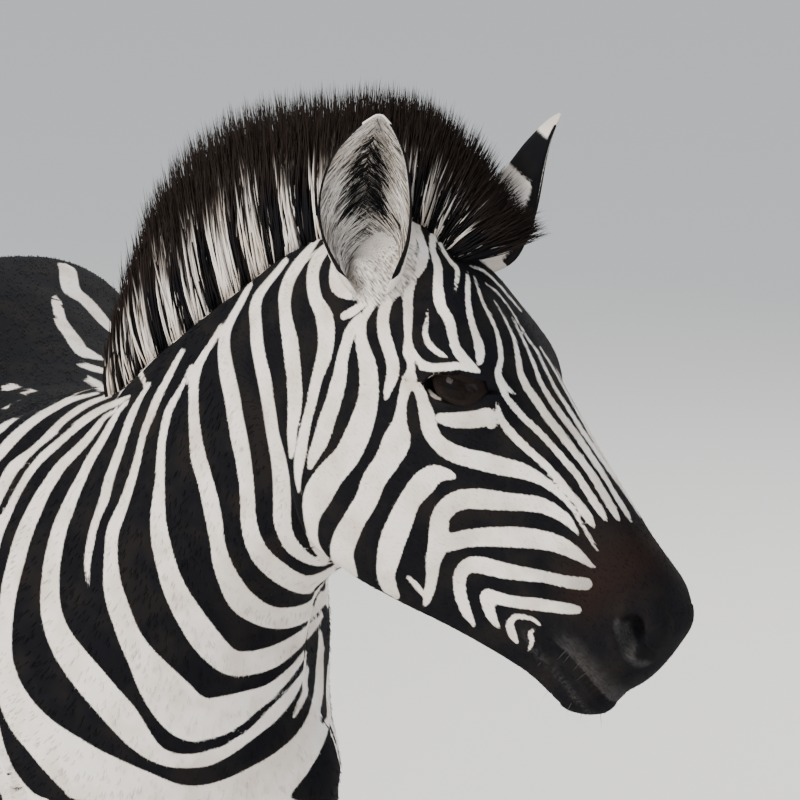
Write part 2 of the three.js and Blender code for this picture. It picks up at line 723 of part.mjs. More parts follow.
const EARS = {
  right: {
    base: place(HEAD, 36, -62, -64),
    tip: place(HEAD, -84, -106, 62),
    facing: vec(0.95, -0.3, 0.05),
    bow: -10,
    belly: -14,
  },
  left: {
    base: place(HEAD, 54, 60, -22),
    tip: place(HEAD, -6, 106, 132),
    facing: vec(0.35, 0.93, 0),
    bow: 0,
    belly: 14,
  },
};
for (const [side, ear] of Object.entries(EARS)) {
  add(`ear_${side}`, cut(makeEar(ear), headCutter, neckCutter), COATED);
}

add("mane", cut(makeHair(MANE_ROWS, 16), headCutter, neckCutter, trunkCutter), DARK_HAIR);
add("tail_dock", cut(rod(TAIL_PATH, 8, 12, dockRadius), trunkCutter), COATED);
add("tail_tuft", rod(TUFT_PATH, 8, 12, tuftRadius), DARK_HAIR);

// The origin is the middle of the box round the whole animal, on the ground.
model.updateMatrixWorld(true);
const box = new THREE.Box3().setFromObject(model, true);
for (const mesh of model.children) {
  mesh.geometry.translate(-(box.min.x + box.max.x) / 2, -(box.min.y + box.max.y) / 2, -box.min.z);
}

export default model;
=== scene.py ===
import math

import bpy
import numpy as np
from mathutils.bvhtree import BVHTree
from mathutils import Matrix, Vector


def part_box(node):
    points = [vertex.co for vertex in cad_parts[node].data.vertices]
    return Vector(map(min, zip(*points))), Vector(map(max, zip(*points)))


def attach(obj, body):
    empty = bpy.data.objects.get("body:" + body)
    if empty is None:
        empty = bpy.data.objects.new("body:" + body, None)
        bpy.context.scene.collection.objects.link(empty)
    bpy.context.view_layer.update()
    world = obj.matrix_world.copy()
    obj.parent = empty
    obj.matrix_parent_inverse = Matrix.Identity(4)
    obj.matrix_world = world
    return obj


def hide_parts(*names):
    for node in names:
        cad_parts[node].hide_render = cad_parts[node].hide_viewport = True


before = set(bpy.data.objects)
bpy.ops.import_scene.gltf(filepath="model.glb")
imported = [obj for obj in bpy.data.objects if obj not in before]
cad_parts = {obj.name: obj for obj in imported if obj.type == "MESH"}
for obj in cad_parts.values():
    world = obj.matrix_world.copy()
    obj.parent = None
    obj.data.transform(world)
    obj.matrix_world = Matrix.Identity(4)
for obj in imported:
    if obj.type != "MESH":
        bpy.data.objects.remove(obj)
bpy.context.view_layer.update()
rng = np.random.default_rng(11)

# ---------------------------------------------------------------- driving dimensions, as in the solids
SOFT_BODY, SOFT_MUSCLE, SOFT_HEAD, SOFT_HOLLOW = 60, 45, 26, 10
SOFT_LEG, SOFT_DOCK, SOFT_THROAT = 34, 22, 14
POLL = (838, 189, 1550)
HEAD_HEADING, HEAD_PITCH = math.radians(48), math.radians(53.3)
NECK_ROOT, NECK_AIM = (500, 0, 1085), (795, 150, 1430)
FORE_X, HIND_X, STAGGER = 430, -548, 34
FORE_TOP, HIND_TOP = 790, 880
HOOF_TOP, HEEL_TOP, HOOF_TOE, HOOF_HEEL, SOLE_POWER = 68, 36, 92, -22, 2.4
FORE_SOLE, HIND_SOLE = 45, 42
MANE_HEIGHT, MANE_BASE, MANE_EDGE = 150, 46, 13
EAR_WIDTH, EAR_WALL = 94, 4.5
EYE = {"at": (176, 80, -36), "radii": (30, 22, 24), "slope": 35}

COAT_DEPTH, FACE_DEPTH = 4.0, 1.8  # how far the skin lies inside the solids
SHORT_LEG = 520, 380  # heights between which the legs' coat turns as short as the face's
BODY_STEP, NECK_STEP, HEAD_STEP, FINE_STEP = 13.6, 6.9, 3.7, 1.7  # edge lengths of the skin

CAMERA_AIM, CAMERA_BACK = (866.3, 154.2, 1358.6), 6000
CAMERA_AZIMUTH, CAMERA_RISE = math.radians(73), math.radians(11)
PICTURE, PICTURE_FOCUS = 800, 6000  # the picture's side and its focal length, both in pixels
CAMERA_BACKWARD = np.array(
    [
        math.sin(CAMERA_AZIMUTH) * math.cos(CAMERA_RISE),
        -math.cos(CAMERA_AZIMUTH) * math.cos(CAMERA_RISE),
        math.sin(CAMERA_RISE),
    ]
)
CAMERA_RIGHT = np.array([math.cos(CAMERA_AZIMUTH), math.sin(CAMERA_AZIMUTH), 0])
CAMERA_UP = np.cross(CAMERA_BACKWARD, CAMERA_RIGHT)
CAMERA_PLACE = np.array(CAMERA_AIM) + CAMERA_BACK * CAMERA_BACKWARD

TRUNK_ROWS = [
    [-610, 0, 1215, 905, 150],
    [-560, 0, 1262, 850, 190],
    [-430, 0, 1303, 760, 226],
    [-280, 0, 1296, 692, 240],
    [-130, 0, 1266, 652, 262],
    [20, 0, 1246, 636, 277],
    [170, 0, 1250, 644, 270],
    [300, 0, 1278, 668, 238],
    [400, 0, 1298, 700, 205],
    [500, 0, 1262, 745, 178],
    [590, 0, 1150, 800, 140],
]
NECK_ROWS = [
    [-120, -30, 150, -168, 150],
    [-40, -28, 172, -160, 145],
    [30, -10, 184, -142, 132],
    [110, 2, 186, -128, 120],
    [190, 0, 178, -134, 111],
    [270, 0, 164, -150, 102],
    [360, 0, 144, -150, 93],
    [450, 0, 122, -140, 82],
    [540, 6, 84, -110, 66],
]
HEAD_ROWS = [
    [6, 0, -16, -130, 46],
    [30, 0, -4, -165, 58],
    [64, 0, 4, -190, 70],
    [120, 0, 11, -215, 79],
    [175, 0, 14, -225, 78],
    [240, 0, 11, -212, 68],
    [300, 0, 8, -186, 58],
    [360, 0, 7, -160, 50],
    [415, 0, 5, -142, 46],
    [452, 0, 0, -128, 45],
    [480, 0, -14, -118, 41],
]
JAW_ROWS = [
    [128, 60, -130, -236, 20],
    [200, 58, -150, -284, 22],
    [259, 51, -140, -274, 21],
    [311, 43, -125, -248, 20],
    [361, 34, -112, -219, 20],
    [413, 24, -104, -193, 21],
    [455, 14, -100, -176, 23],
    [490, 6, -100, -164, 24],
]
# Up a leg: height, distance from the midline, front, back, half width.
FORE_ROWS = [
    [50, 106, 64, -16, 39],
    [78, 106, 58, -8, 35],
    [112, 106, 44, -15, 29],
    [148, 106, 33, -29, 28],
    [182, 106, 31, -38, 30],
    [215, 106, 27, -32, 25],
    [270, 106, 25, -28, 22],
    [350, 106, 26, -28, 23],
    [405, 106, 34, -32, 32],
    [448, 107, 42, -40, 38],
    [485, 109, 38, -37, 35],
    [540, 112, 42, -43, 39],
    [610, 117, 52, -56, 47],
    [680, 122, 68, -68, 55],
    [740, 127, 84, -80, 56],
    [800, 128, 78, -74, 46],
]
HIND_ROWS = [
    [50, 106, 65, -17, 40],
    [80, 106, 59, -9, 36],
    [114, 106, 45, -16, 30],
    [150, 106, 35, -30, 29],
    [184, 106, 33, -41, 31],
    [220, 106, 29, -34, 25],
    [270, 106, 27, -30, 22],
    [350, 106, 28, -31, 23],
    [416, 106, 32, -33, 29],
    [458, 106, 39, -42, 36],
    [500, 107, 43, -62, 36],
    [540, 108, 45, -76, 33],
    [574, 109, 56, -66, 35],
    [620, 112, 82, -40, 45],
    [680, 118, 118, -30, 57],
    [740, 123, 156, -36, 70],
    [810, 126, 184, -44, 80],
    [900, 124, 190, -40, 78],
]
# Middle (along, out from the midline, up), radii, and a lean in degrees.
BODY_MUSCLES = {
    "scapula": ((415, 128, 1075), (120, 72, 190), 18),
    "point of shoulder": ((545, 118, 905), (80, 68, 80), 0),
    "triceps": ((410, 150, 850), (120, 68, 125), -20),
    "elbow": ((352, 138, 752), (44, 40, 54), 0),
    "breast": ((560, 52, 850), (88, 78, 100), 0),
    "haunch": ((-430, 110, 1120), (205, 132, 172), 0),
    "hip point": ((-262, 172, 1196), (48, 44, 52), 0),
    "thigh": ((-455, 128, 930), (178, 104, 215), 16),
    "stifle": ((-362, 148, 800), (62, 60, 92), 0),
    "buttock": ((-598, 72, 1040), (78, 84, 165), 0),
}
BODY_HOLLOWS = {
    "flank": ((-225, 268, 1080), (90, 34, 120), 12),
    "arm pit": ((300, 0, 655), (120, 60, 14), 0),
}
HEAD_MUSCLES = {
    "masseter": ((190, 56, -166), (112, 27, 108), 0),
    "orbit": ((168, 64, -42), (58, 33, 34), 20),
    "brow": ((150, 60, -24), (50, 33, 16), 0),
    "cheek arch": ((95, 72, -62), (84, 16, 20), 0),
    "face crest": ((290, 50, -92), (100, 17, 16), -6),
    "forehead": ((118, 26, -32), (80, 42, 31), 0),
    "poll": ((38, 0, -42), (44, 50, 42), 0),
    "nape side": ((66, 42, -98), (62, 38, 78), 0),
    "muzzle": ((440, 0, -66), (60, 51, 64), 0),
    "nostril rim": ((460, 36, -40), (36, 18, 30), 0),
    "upper lip": ((478, 0, -86), (37, 43, 48), 0),
    "lower lip": ((480, 0, -142), (42, 33, 24), 12),
}
HEAD_HOLLOWS = {
    "nostril": ((474, 50, -44), (19, 16, 10), -52),
    "temple": ((84, 80, -22), (30, 15, 16), 0),
}


# ---------------------------------------------------------------- frames
def unit(v):
    v = np.asarray(v, float)
    return v / np.maximum(np.linalg.norm(v, axis=-1, keepdims=True), 1e-9)


class Frame:
    """An origin and three unit directions: along a tube, to its side and up across it."""

    def __init__(self, origin, along, side):
        self.origin = np.array(origin, float)
        self.along = unit(along)
        self.side = unit(np.array(side, float) - np.dot(side, self.along) * self.along)
        self.up = np.cross(self.along, self.side)
        self.axes = np.stack([self.along, self.side, self.up])

    def local(self, points):
        return (points - self.origin) @ self.axes.T

    def place(self, along, side, up):
        return self.origin + along * self.along + side * self.side + up * self.up


BODY = Frame((0, 0, 0), (1, 0, 0), (0, 1, 0))
HEAD = Frame(
    POLL,
    (
        math.cos(HEAD_PITCH) * math.cos(HEAD_HEADING),
        math.cos(HEAD_PITCH) * math.sin(HEAD_HEADING),
        -math.sin(HEAD_PITCH),
    ),
    (-math.sin(HEAD_HEADING), math.cos(HEAD_HEADING), 0),
)
NECK_LINE = np.subtract(NECK_AIM, NECK_ROOT)
NECK = Frame(NECK_ROOT, NECK_LINE, (-NECK_LINE[1], NECK_LINE[0], 0))


def hoof_shift():
    """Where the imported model's origin is in the body's frame, found from its fore hooves."""
    boxes = [np.array(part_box(f"hoof_fore_{side}")) * 1000 for side in ("left", "right")]
    middle = np.mean([box.mean(axis=0) for box in boxes], axis=0)
    return np.array([FORE_X + (HOOF_TOE + HOOF_HEEL) / 2 - middle[0], -middle[1], 0])


ORIGIN = hoof_shift()


def to_scene(points):
    return (np.asarray(points) - ORIGIN) / 1000


def to_body(points):
    return np.asarray(points) * 1000 + ORIGIN


# ---------------------------------------------------------------- the implicit form, as in the solids
def columns(rows, at):
    """All columns of a table but its first, at places along it, by smooth curves through its rows."""
    table = np.asarray(rows, float)
    x = table[:, 0]
    values = table[:, 1:]
    ahead = np.minimum(np.arange(len(x)) + 1, len(x) - 1)
    behind = np.maximum(np.arange(len(x)) - 1, 0)
    slopes = (values[ahead] - values[behind]) / (x[ahead] - x[behind])[:, None]
    t = np.clip(at, x[0], x[-1])
    i = np.clip(np.searchsorted(x, t, side="right") - 1, 0, len(x) - 2)
    span = (x[i + 1] - x[i])[:, None]
    u = (t - x[i])[:, None] / span
    rise = u * u * (3 - 2 * u)
    bend = span * (u * (1 - u) ** 2 * slopes[i] - u * u * (1 - u) * slopes[i + 1])
    return (values[i] * (1 - rise) + values[i + 1] * rise + bend).T


def tube(place, rows, power, middle, cap, mirrored=False):
    first, end = rows[0][0], rows[-1][0]

    def field(points):
        along, side, up = place.local(points).T
        shift, top, bottom, half = columns(rows, along)
        centre = bottom + (top - bottom) * middle
        across = np.abs((np.abs(side) if mirrored else side) - shift) / half
        rise = up - centre
        tall = np.where(rise > 0, top - centre, centre - bottom)
        rise = np.abs(rise) / tall
        q = np.maximum((across**power + rise**power) ** (1 / power), 1e-3)
        steep = np.hypot(across ** (power - 1) / half, rise ** (power - 1) / tall) * q ** (1 - power)
        inside = (q - 1) / np.maximum(steep, 1 / np.maximum(half, tall))
        past = np.maximum(np.maximum(along - end, first - along), 0)
        ended = (np.hypot(q, past / cap) - 1) * np.minimum(np.minimum(half, tall), cap)
        return np.where(past > 0, ended, inside)

    return field


def muscle(place, shape):
    at, radii, lean = shape
    c, s = math.cos(math.radians(lean)), math.sin(math.radians(lean))

    def field(points):
        x, y, z = place.local(points).T
        x, y, z = x - at[0], np.abs(y) - at[1], z - at[2]
        parts = np.stack([(x * c + z * s) / radii[0], y / radii[1], (z * c - x * s) / radii[2]])
        q = np.maximum(np.linalg.norm(parts, axis=0), 1e-3)
        steep = np.linalg.norm(parts / np.array(radii, float)[:, None], axis=0)
        return q * (q - 1) / np.maximum(steep, 1e-6)

    return field


def leg(rows, x, sign, step, top):
    """A leg's sections lie level. Its foot is step ahead of its top."""
    low, high = (HOOF_TOP + HEEL_TOP) / 2 - 12, top

    def field(points):
        z = points[:, 2]
        away, front, back, half = columns(rows, z)
        share = np.clip((top - z) / (top - HOOF_TOP), 0, 1)
        shift = step * share * share * (3 - 2 * share)
        deep = (front - back) / 2
        across = (points[:, 1] - sign * away) / half
        forward = (points[:, 0] - x - shift - (front + back) / 2) / deep
        q = np.maximum(np.hypot(across, forward), 1e-3)
        steep = np.hypot(across / half, forward / deep) / q
        inside = (q - 1) / np.maximum(steep, 1 / np.maximum(half, deep))
        past = np.maximum(np.maximum(z - high, low - z), 0)
        ended = (np.hypot(q, past / 20) - 1) * 20
        return np.where(past > 0, ended, inside)

    return field


def curve(points, t):
    """Places on a smooth curve through the points, for shares of the way from first to last."""
    points = np.asarray(points, float)
    ends = np.vstack([2 * points[0] - points[1], points, 2 * points[-1] - points[-2]])
    s = np.clip(t, 0, 1) * (len(points) - 1)
    i = np.minimum(s.astype(int), len(points) - 2)
    w = (s - i)[:, None]
    a, b, c, d = (ends[i + k] for k in range(4))
    ab, bc, cd = (np.sqrt(np.linalg.norm(q - p, axis=1))[:, None] for p, q in ((a, b), (b, c), (c, d)))
    start = ((b - a) / ab - (c - a) / (ab + bc) + (c - b) / bc) * bc
    end = ((c - b) / bc - (d - b) / (bc + cd) + (d - c) / cd) * bc
    return (2 * b - 2 * c + start + end) * w**3 + (3 * c - 3 * b - 2 * start - end) * w**2 + start * w + b


TAIL_PATH = [(-585, 0, 1176), (-654, 0, 1178), (-700, 0, 1100), (-716, 0, 970), (-712, 0, 830)]
TUFT_PATH = [(-712, 0, 828), (-708, 0, 700), (-700, 0, 580), (-694, 0, 470)]


DOCK_THICK, DOCK_TAPER = 30, 13  # the dock's radius at its root and what it loses to its end
DOCK_FRONT, DOCK_LOW = -480, 700  # no point ahead of or below these is near the dock


def dock(points):
    """Roughly the distance to the tail's dock, or a great length where nothing is near it."""
    t = np.linspace(0, 1, 24)
    path = curve(TAIL_PATH, t)
    result = np.full(len(points), 1e4)
    near = np.flatnonzero((points[:, 0] < DOCK_FRONT) & (points[:, 2] > DOCK_LOW))
    gaps = np.linalg.norm(points[near, None, :] - path[None], axis=2) - (DOCK_THICK - DOCK_TAPER * t)
    if len(near):
        result[near] = gaps.min(axis=1)
    return result


def blend(a, b, k):
    h = np.maximum(k - np.abs(a - b), 0) / k
    return np.minimum(a, b) - h * h * k / 4


def join_all(fields, k):
    def field(points):
        total = fields[0](points)
        for part in fields[1:]:
            total = blend(total, part(points), k)
        return total

    return field


def muscles(place, shapes):
    return [muscle(place, shape) for shape in shapes.values()]


trunk_tube = tube(BODY, TRUNK_ROWS, 2.25, 0.46, 80)
neck_tube = tube(NECK, NECK_ROWS, 2.0, 0.42, 40)
head_tube = tube(HEAD, HEAD_ROWS, 2.5, 0.66, 26)
jaw_tube = tube(HEAD, JAW_ROWS, 2.2, 0.5, 16, mirrored=True)
body_muscles = join_all(muscles(BODY, BODY_MUSCLES), SOFT_MUSCLE)
head_parts = join_all([head_tube, jaw_tube, *muscles(HEAD, HEAD_MUSCLES)], SOFT_HEAD)
LEGS = [
    leg(rows, x, sign, way * sign * STAGGER, top)
    for rows, x, way, top in ((FORE_ROWS, FORE_X, 1, FORE_TOP), (HIND_ROWS, HIND_X, -1, HIND_TOP))
    for sign in (1, -1)
]


def carve(value, points, holes, k):
    for hole in holes:
        value = -blend(-value, hole(points), k)
    return value


def body_form(points):
    value = blend(trunk_tube(points), body_muscles(points), SOFT_MUSCLE)
    value = blend(value, neck_tube(points), SOFT_BODY)
    value = carve(value, points, muscles(BODY, BODY_HOLLOWS), SOFT_BODY)
    for limb in LEGS:
        value = blend(value, limb(points), SOFT_LEG)
    return blend(value, dock(points), SOFT_DOCK)


# The opening of the eye: its middle and ends in the head's frame (along, up), and its half height.
EYE_CORNERS = np.array([(156, -65), (195, -19)], float)
EYE_MIDDLE = EYE_CORNERS.mean(axis=0)
EYE_LONG = unit(EYE_CORNERS[1] - EYE_CORNERS[0])
EYE_TALL = np.array([-EYE_LONG[1], EYE_LONG[0]])
EYE_HALF = np.linalg.norm(EYE_CORNERS[1] - EYE_CORNERS[0]) / 2
UPPER_LID, LOWER_LID = 14.5, 13.0


def eyeball(x, z):
    """How far out from the midline the eyeball's surface is, for places along and up the head."""
    c, s = math.cos(math.radians(EYE["slope"])), math.sin(math.radians(EYE["slope"]))
    along, up = x - EYE["at"][0], z - EYE["at"][2]
    long, tall, deep = EYE["radii"]
    q = ((along * c + up * s) / long) ** 2 + ((up * c - along * s) / tall) ** 2
    return EYE["at"][1] + deep * np.sqrt(np.maximum(1 - q, 0))


def lid_edge(t):
    """Points round the opening of the eye in the head's frame: up the upper lid and back along the lower."""
    angle = 2 * math.pi * t
    tall = np.where(np.sin(angle) > 0, UPPER_LID, LOWER_LID)
    out = np.cos(angle) * EYE_HALF
    rise = np.sign(np.sin(angle)) * np.abs(np.sin(angle)) ** 1.35 * tall
    x, z = (EYE_MIDDLE[k] + out * EYE_LONG[k] + rise * EYE_TALL[k] for k in range(2))
    return np.stack([x, eyeball(x, z), z], axis=1)


LID_POINTS, LID_REACH, LID_INSIDE = 48, 60, 50  # points round the eye, and where the lids' shaping ends
UPPER_RIM, LOWER_RIM, LID_SOFT, SOCKET_SOFT = 4.6, 3.6, 9, 2.5  # the rims' radii, and how soft they join


def lids(value, points):
    """Opens the eye in the head's form and grows the rims of its lids."""
    x, side, z = HEAD.local(points).T
    reached = np.hypot(x - EYE_MIDDLE[0], z - EYE_MIDDLE[1]) < LID_REACH
    near = np.flatnonzero(reached & (np.abs(side) > LID_INSIDE))
    if len(near) == 0:
        return value
    x, y, z = x[near], np.abs(side[near]), z[near]
    t = np.arange(LID_POINTS) / LID_POINTS
    rim = lid_edge(t)
    gaps = np.linalg.norm(np.stack([x, y, z], axis=1)[:, None] - rim[None], axis=2)
    thick = np.where(t < 0.5, UPPER_RIM, LOWER_RIM) * (0.75 + 0.25 * np.abs(np.sin(2 * math.pi * t)))
    ridge = (gaps - thick).min(axis=1)
    long = (x - EYE_MIDDLE[0]) * EYE_LONG[0] + (z - EYE_MIDDLE[1]) * EYE_LONG[1]
    tall = (x - EYE_MIDDLE[0]) * EYE_TALL[0] + (z - EYE_MIDDLE[1]) * EYE_TALL[1]
    share = np.maximum(1 - (long / EYE_HALF) ** 2, 0) ** 0.68
    half = np.where(tall > 0, UPPER_LID, LOWER_LID) * share
    opening = np.maximum(np.abs(tall) - half, EYE["at"][1] - 8 - y)
    solid = blend(value[near], ridge, LID_SOFT)
    result = value.copy()
    result[near] = -blend(-solid, opening, SOCKET_SOFT)
    return result


def groove(value, points, path, radius, k):
    """A channel along a path given in the head's frame, on both sides."""
    local = HEAD.local(points)
    local[:, 1] = np.abs(local[:, 1])
    route = curve(path, np.linspace(0, 1, 24))
    near = np.flatnonzero(np.linalg.norm(local - route.mean(axis=0), axis=1) < 90)
    if len(near) == 0:
        return value
    gaps = np.linalg.norm(local[near, None] - route[None], axis=2).min(axis=1) - radius
    result = value.copy()
    result[near] = -blend(-value[near], gaps, k)
    return result


MOUTH_LINE = [
    (424, 46, -124),
    (437, 44, -126),
    (455, 43, -122),
    (477, 43, -118),
    (500, 37, -118),
    (520, 19, -122),
    (526, 0, -123),
]
NOSTRIL_SLIT = [(466, 50, -38), (483, 46, -46), (502, 43, -47)]


MOUTH_GROOVE, NOSTRIL_GROOVE = (3.2, 4), (6.5, 5)  # radius, and how soft the edges are


def head_form(points):
    """Roughly the distance to the head with its hollows, grooves and open eyes."""
    value = carve(head_parts(points), points, muscles(HEAD, HEAD_HOLLOWS), SOFT_HOLLOW)
    value = groove(value, points, MOUTH_LINE, *MOUTH_GROOVE)
    value = groove(value, points, NOSTRIL_SLIT, *NOSTRIL_GROOVE)
    return lids(value, points)


def form(points):
    """Roughly the distance to the whole animal's flesh, below zero inside it."""
    return blend(body_form(points), head_form(points), SOFT_THROAT)


def gradient(field, points, value, step=0.6):
    offsets = np.eye(3) * step
    return np.stack([(field(points + offset) - value) / step for offset in offsets], axis=1)


def settle(points, field, rounds=4, reach=12.0):
    """Moves points along the field's gradient until they lie on its surface."""
    for _ in range(rounds):
        value = field(points)
        slope = gradient(field, points, value)
        size = np.maximum((slope**2).sum(axis=1), 0.05)
        move = -(value / size)[:, None] * slope
        far = np.maximum(np.linalg.norm(move, axis=1) / reach, 1)
        points = points + move / far[:, None]
    return points


# ---------------------------------------------------------------- meshes
def make_mesh(name, points, faces):
    """A smooth object from points in the body's frame."""
    mesh = bpy.data.meshes.new(name)
    faces = np.asarray(faces)
    width = faces.shape[1]
    mesh.vertices.add(len(points))
    mesh.vertices.foreach_set("co", to_scene(points).astype(np.float32).ravel())
    mesh.loops.add(faces.size)
    mesh.loops.foreach_set("vertex_index", faces.astype(np.int32).ravel())
    mesh.polygons.add(len(faces))
    mesh.polygons.foreach_set("loop_start", np.arange(0, faces.size, width, dtype=np.int32))
    mesh.update(calc_edges=True)
    mesh.validate()
    mesh.polygons.foreach_set("use_smooth", np.ones(len(mesh.polygons), bool))
    made = bpy.data.objects.new(name, mesh)
    bpy.context.scene.collection.objects.link(made)
    return made


def read_mesh(mesh):
    """Points in the body's frame, and triangles."""
    points = np.empty(len(mesh.vertices) * 3, np.float32)
    mesh.vertices.foreach_get("co", points)
    mesh.calc_loop_triangles()
    faces = np.empty(len(mesh.loop_triangles) * 3, np.int32)
    mesh.loop_triangles.foreach_get("vertices", faces)
    return to_body(points.reshape(-1, 3).astype(float)), faces.reshape(-1, 3)


def set_attribute(piece, name, values):
    """A number, or three, for each point of a piece's mesh."""
    values = np.asarray(values, np.float32)
    vector = values.ndim == 2
    layer = piece.data.attributes.new(name, "FLOAT_VECTOR" if vector else "FLOAT", "POINT")
    layer.data.foreach_set("vector" if vector else "value", values.ravel())


def face_normals(points, faces):
    a, b, c = (points[faces[:, k]] for k in range(3))
    return np.cross(b - a, c - a)


def point_normals(points, faces):
    normals = np.zeros_like(points)
    flat = face_normals(points, faces)
    for k in range(3):
        for axis in range(3):
            normals[:, axis] += np.bincount(faces[:, k], flat[:, axis], len(points))
    return unit(normals)


def refine(points, faces, wanted):
    """Splits each edge that is longer than wanted() says at its middle."""
    edges = np.sort(np.concatenate([faces[:, [0, 1]], faces[:, [1, 2]], faces[:, [2, 0]]]), axis=1)
    keys, where = np.unique(edges[:, 0].astype(np.int64) * len(points) + edges[:, 1], return_inverse=True)
    ends = np.stack([keys // len(points), keys % len(points)], axis=1)
    middles = points[ends].mean(axis=1)
    lengths = np.linalg.norm(points[ends[:, 0]] - points[ends[:, 1]], axis=1)
    split = lengths > wanted(middles)
    number = np.full(len(keys), -1)
    number[split] = len(points) + np.arange(split.sum())
    mids = number[where].reshape(3, len(faces)).T
    count = (mids >= 0).sum(axis=1)
    made = [faces[count == 0]]
    for turn in range(3):
        order = [(turn + k) % 3 for k in range(3)]
        a, b, c = faces[:, order].T
        ab, bc, ca = mids[:, order].T
        one = (count == 1) & (ab >= 0)
        two = (count == 2) & (ca < 0)
        made += [np.stack(t, 1)[one] for t in ((a, ab, c), (ab, b, c))]
        made += [np.stack(t, 1)[two] for t in ((ab, b, bc), (a, ab, bc), (a, bc, c))]
    three = count == 3
    a, b, c = faces[three].T
    ab, bc, ca = mids[three].T
    made += [np.stack(t, 1) for t in ((a, ab, ca), (ab, b, bc), (ca, bc, c), (ab, bc, ca))]
    return np.vstack([points, middles[split]]), np.vstack(made)


def relax(points, faces, share=0.5):
    """Moves each point along the surface towards the middle of its neighbours."""
    total, count = np.zeros_like(points), np.zeros(len(points))
    for i, j in ((0, 1), (1, 2), (2, 0), (1, 0), (2, 1), (0, 2)):
        count += np.bincount(faces[:, i], minlength=len(points))
        for axis in range(3):
            total[:, axis] += np.bincount(faces[:, i], points[faces[:, j], axis], len(points))
    move = total / np.maximum(count, 1)[:, None] - points
    normals = point_normals(points, faces)
    move -= (move * normals).sum(axis=1, keepdims=True) * normals
    return points + share * move


def largest_shell(points, faces):
    """Drops every shell but the one with the most points."""
    label = np.arange(len(points))
    while True:
        low = label[faces].min(axis=1)
        new = label.copy()
        for k in range(3):
            np.minimum.at(new, faces[:, k], low)
        new = new[new]
        if (new == label).all():
            break
        label = new
    best = np.bincount(label).argmax()
    keep = label == best
    number = np.cumsum(keep) - 1
    return points[keep], number[faces[keep[faces[:, 0]]]]


# ---------------------------------------------------------------- the skin
SIDES = (("left", 1), ("right", -1))
LEG_NODES = [f"{end}leg_{side}" for end in ("fore", "hind") for side, _ in SIDES]
FLESH = ["trunk", "neck", "head", "tail_dock", *LEG_NODES]


def put_together(parts):
    """The points and triangles of several meshes as those of one."""
    starts = np.cumsum([0] + [len(points) for points, _ in parts])
    faces = [faces + start for (_, faces), start in zip(parts, starts)]
    return np.vstack([points for points, _ in parts]), np.vstack(faces)


def wrapped_flesh():
    """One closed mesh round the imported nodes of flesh, as points and triangles."""
    parts = [read_mesh(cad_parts[name].data) for name in FLESH]
    whole = make_mesh("wrap", *put_together(parts))
    modifier = whole.modifiers.new("wrap", "REMESH")
    modifier.mode = "VOXEL"
    modifier.voxel_size = BODY_STEP / 1000
    graph = bpy.context.evaluated_depsgraph_get()
    points, faces = read_mesh(whole.evaluated_get(graph).to_mesh())
    bpy.data.objects.remove(whole)
    return largest_shell(points, faces)


def smooth_step(low, high, x):
    t = np.clip((x - low) / (high - low), 0, 1)
    return t * t * (3 - 2 * t)


HEAD_FADE, HEAD_REAR, HEAD_UNDER = 70, 20, -230  # where the head fades out, in its own frame


def near_head(points):
    """1 on the head, falling to 0 a little way down the neck."""
    along, _, up = HEAD.local(points).T
    behind, under = np.maximum(HEAD_REAR - along, 0), np.maximum(HEAD_UNDER - up, 0)
    return smooth_step(HEAD_FADE, 0, np.hypot(behind, under))


def coat_depth(points):
    """How deep the coat is: least on the head and the lower legs."""
    legs = smooth_step(*SHORT_LEG, points[:, 2])
    return COAT_DEPTH + (FACE_DEPTH - COAT_DEPTH) * np.maximum(near_head(points), legs)


def skin_form(points):
    return form(points) + coat_depth(points)


EDGE_SLACK, HEAD_SLACK = 1.45, 1.4  # how much longer than its step an edge may be before it is split
NECK_FROM, NECK_ABOVE = 380, 880  # the shoulder and neck, which have finer mesh than the trunk
# Balls with the skin's finest mesh, in the head's frame and on both its sides: middle and radius.
FINE_PLACES = {
    "eye": ((176, 86, -40), 42),
    "nostril": ((474, 45, -44), 32),
    "mouth": ((500, 20, -120), 44),
}


def edge_wanted(middles):
    """How long an edge of the skin may be, at its middle."""
    forward = (middles[:, 0] > NECK_FROM) & (middles[:, 2] > NECK_ABOVE)
    rest = np.where(forward, NECK_STEP, BODY_STEP) * EDGE_SLACK
    size = rest + (HEAD_STEP * HEAD_SLACK - rest) * near_head(middles)
    local = HEAD.local(middles)
    local[:, 1] = np.abs(local[:, 1])
    for middle, radius in FINE_PLACES.values():
        fine = np.linalg.norm(local - np.array(middle), axis=1) < radius
        size = np.where(fine, FINE_STEP * HEAD_SLACK, size)
    return size


def make_skin():
    """The skin's points and triangles: the wrapped flesh, settled on its form and split where it is fine."""
    points, faces = wrapped_flesh()
    points = settle(points, skin_form, rounds=5)
    for _ in range(2):
        points = settle(relax(points, faces), skin_form, rounds=2)
    for _ in range(4):
        points, faces = refine(points, faces, edge_wanted)
        points = settle(relax(points, faces), skin_form, rounds=2)
    return points, faces


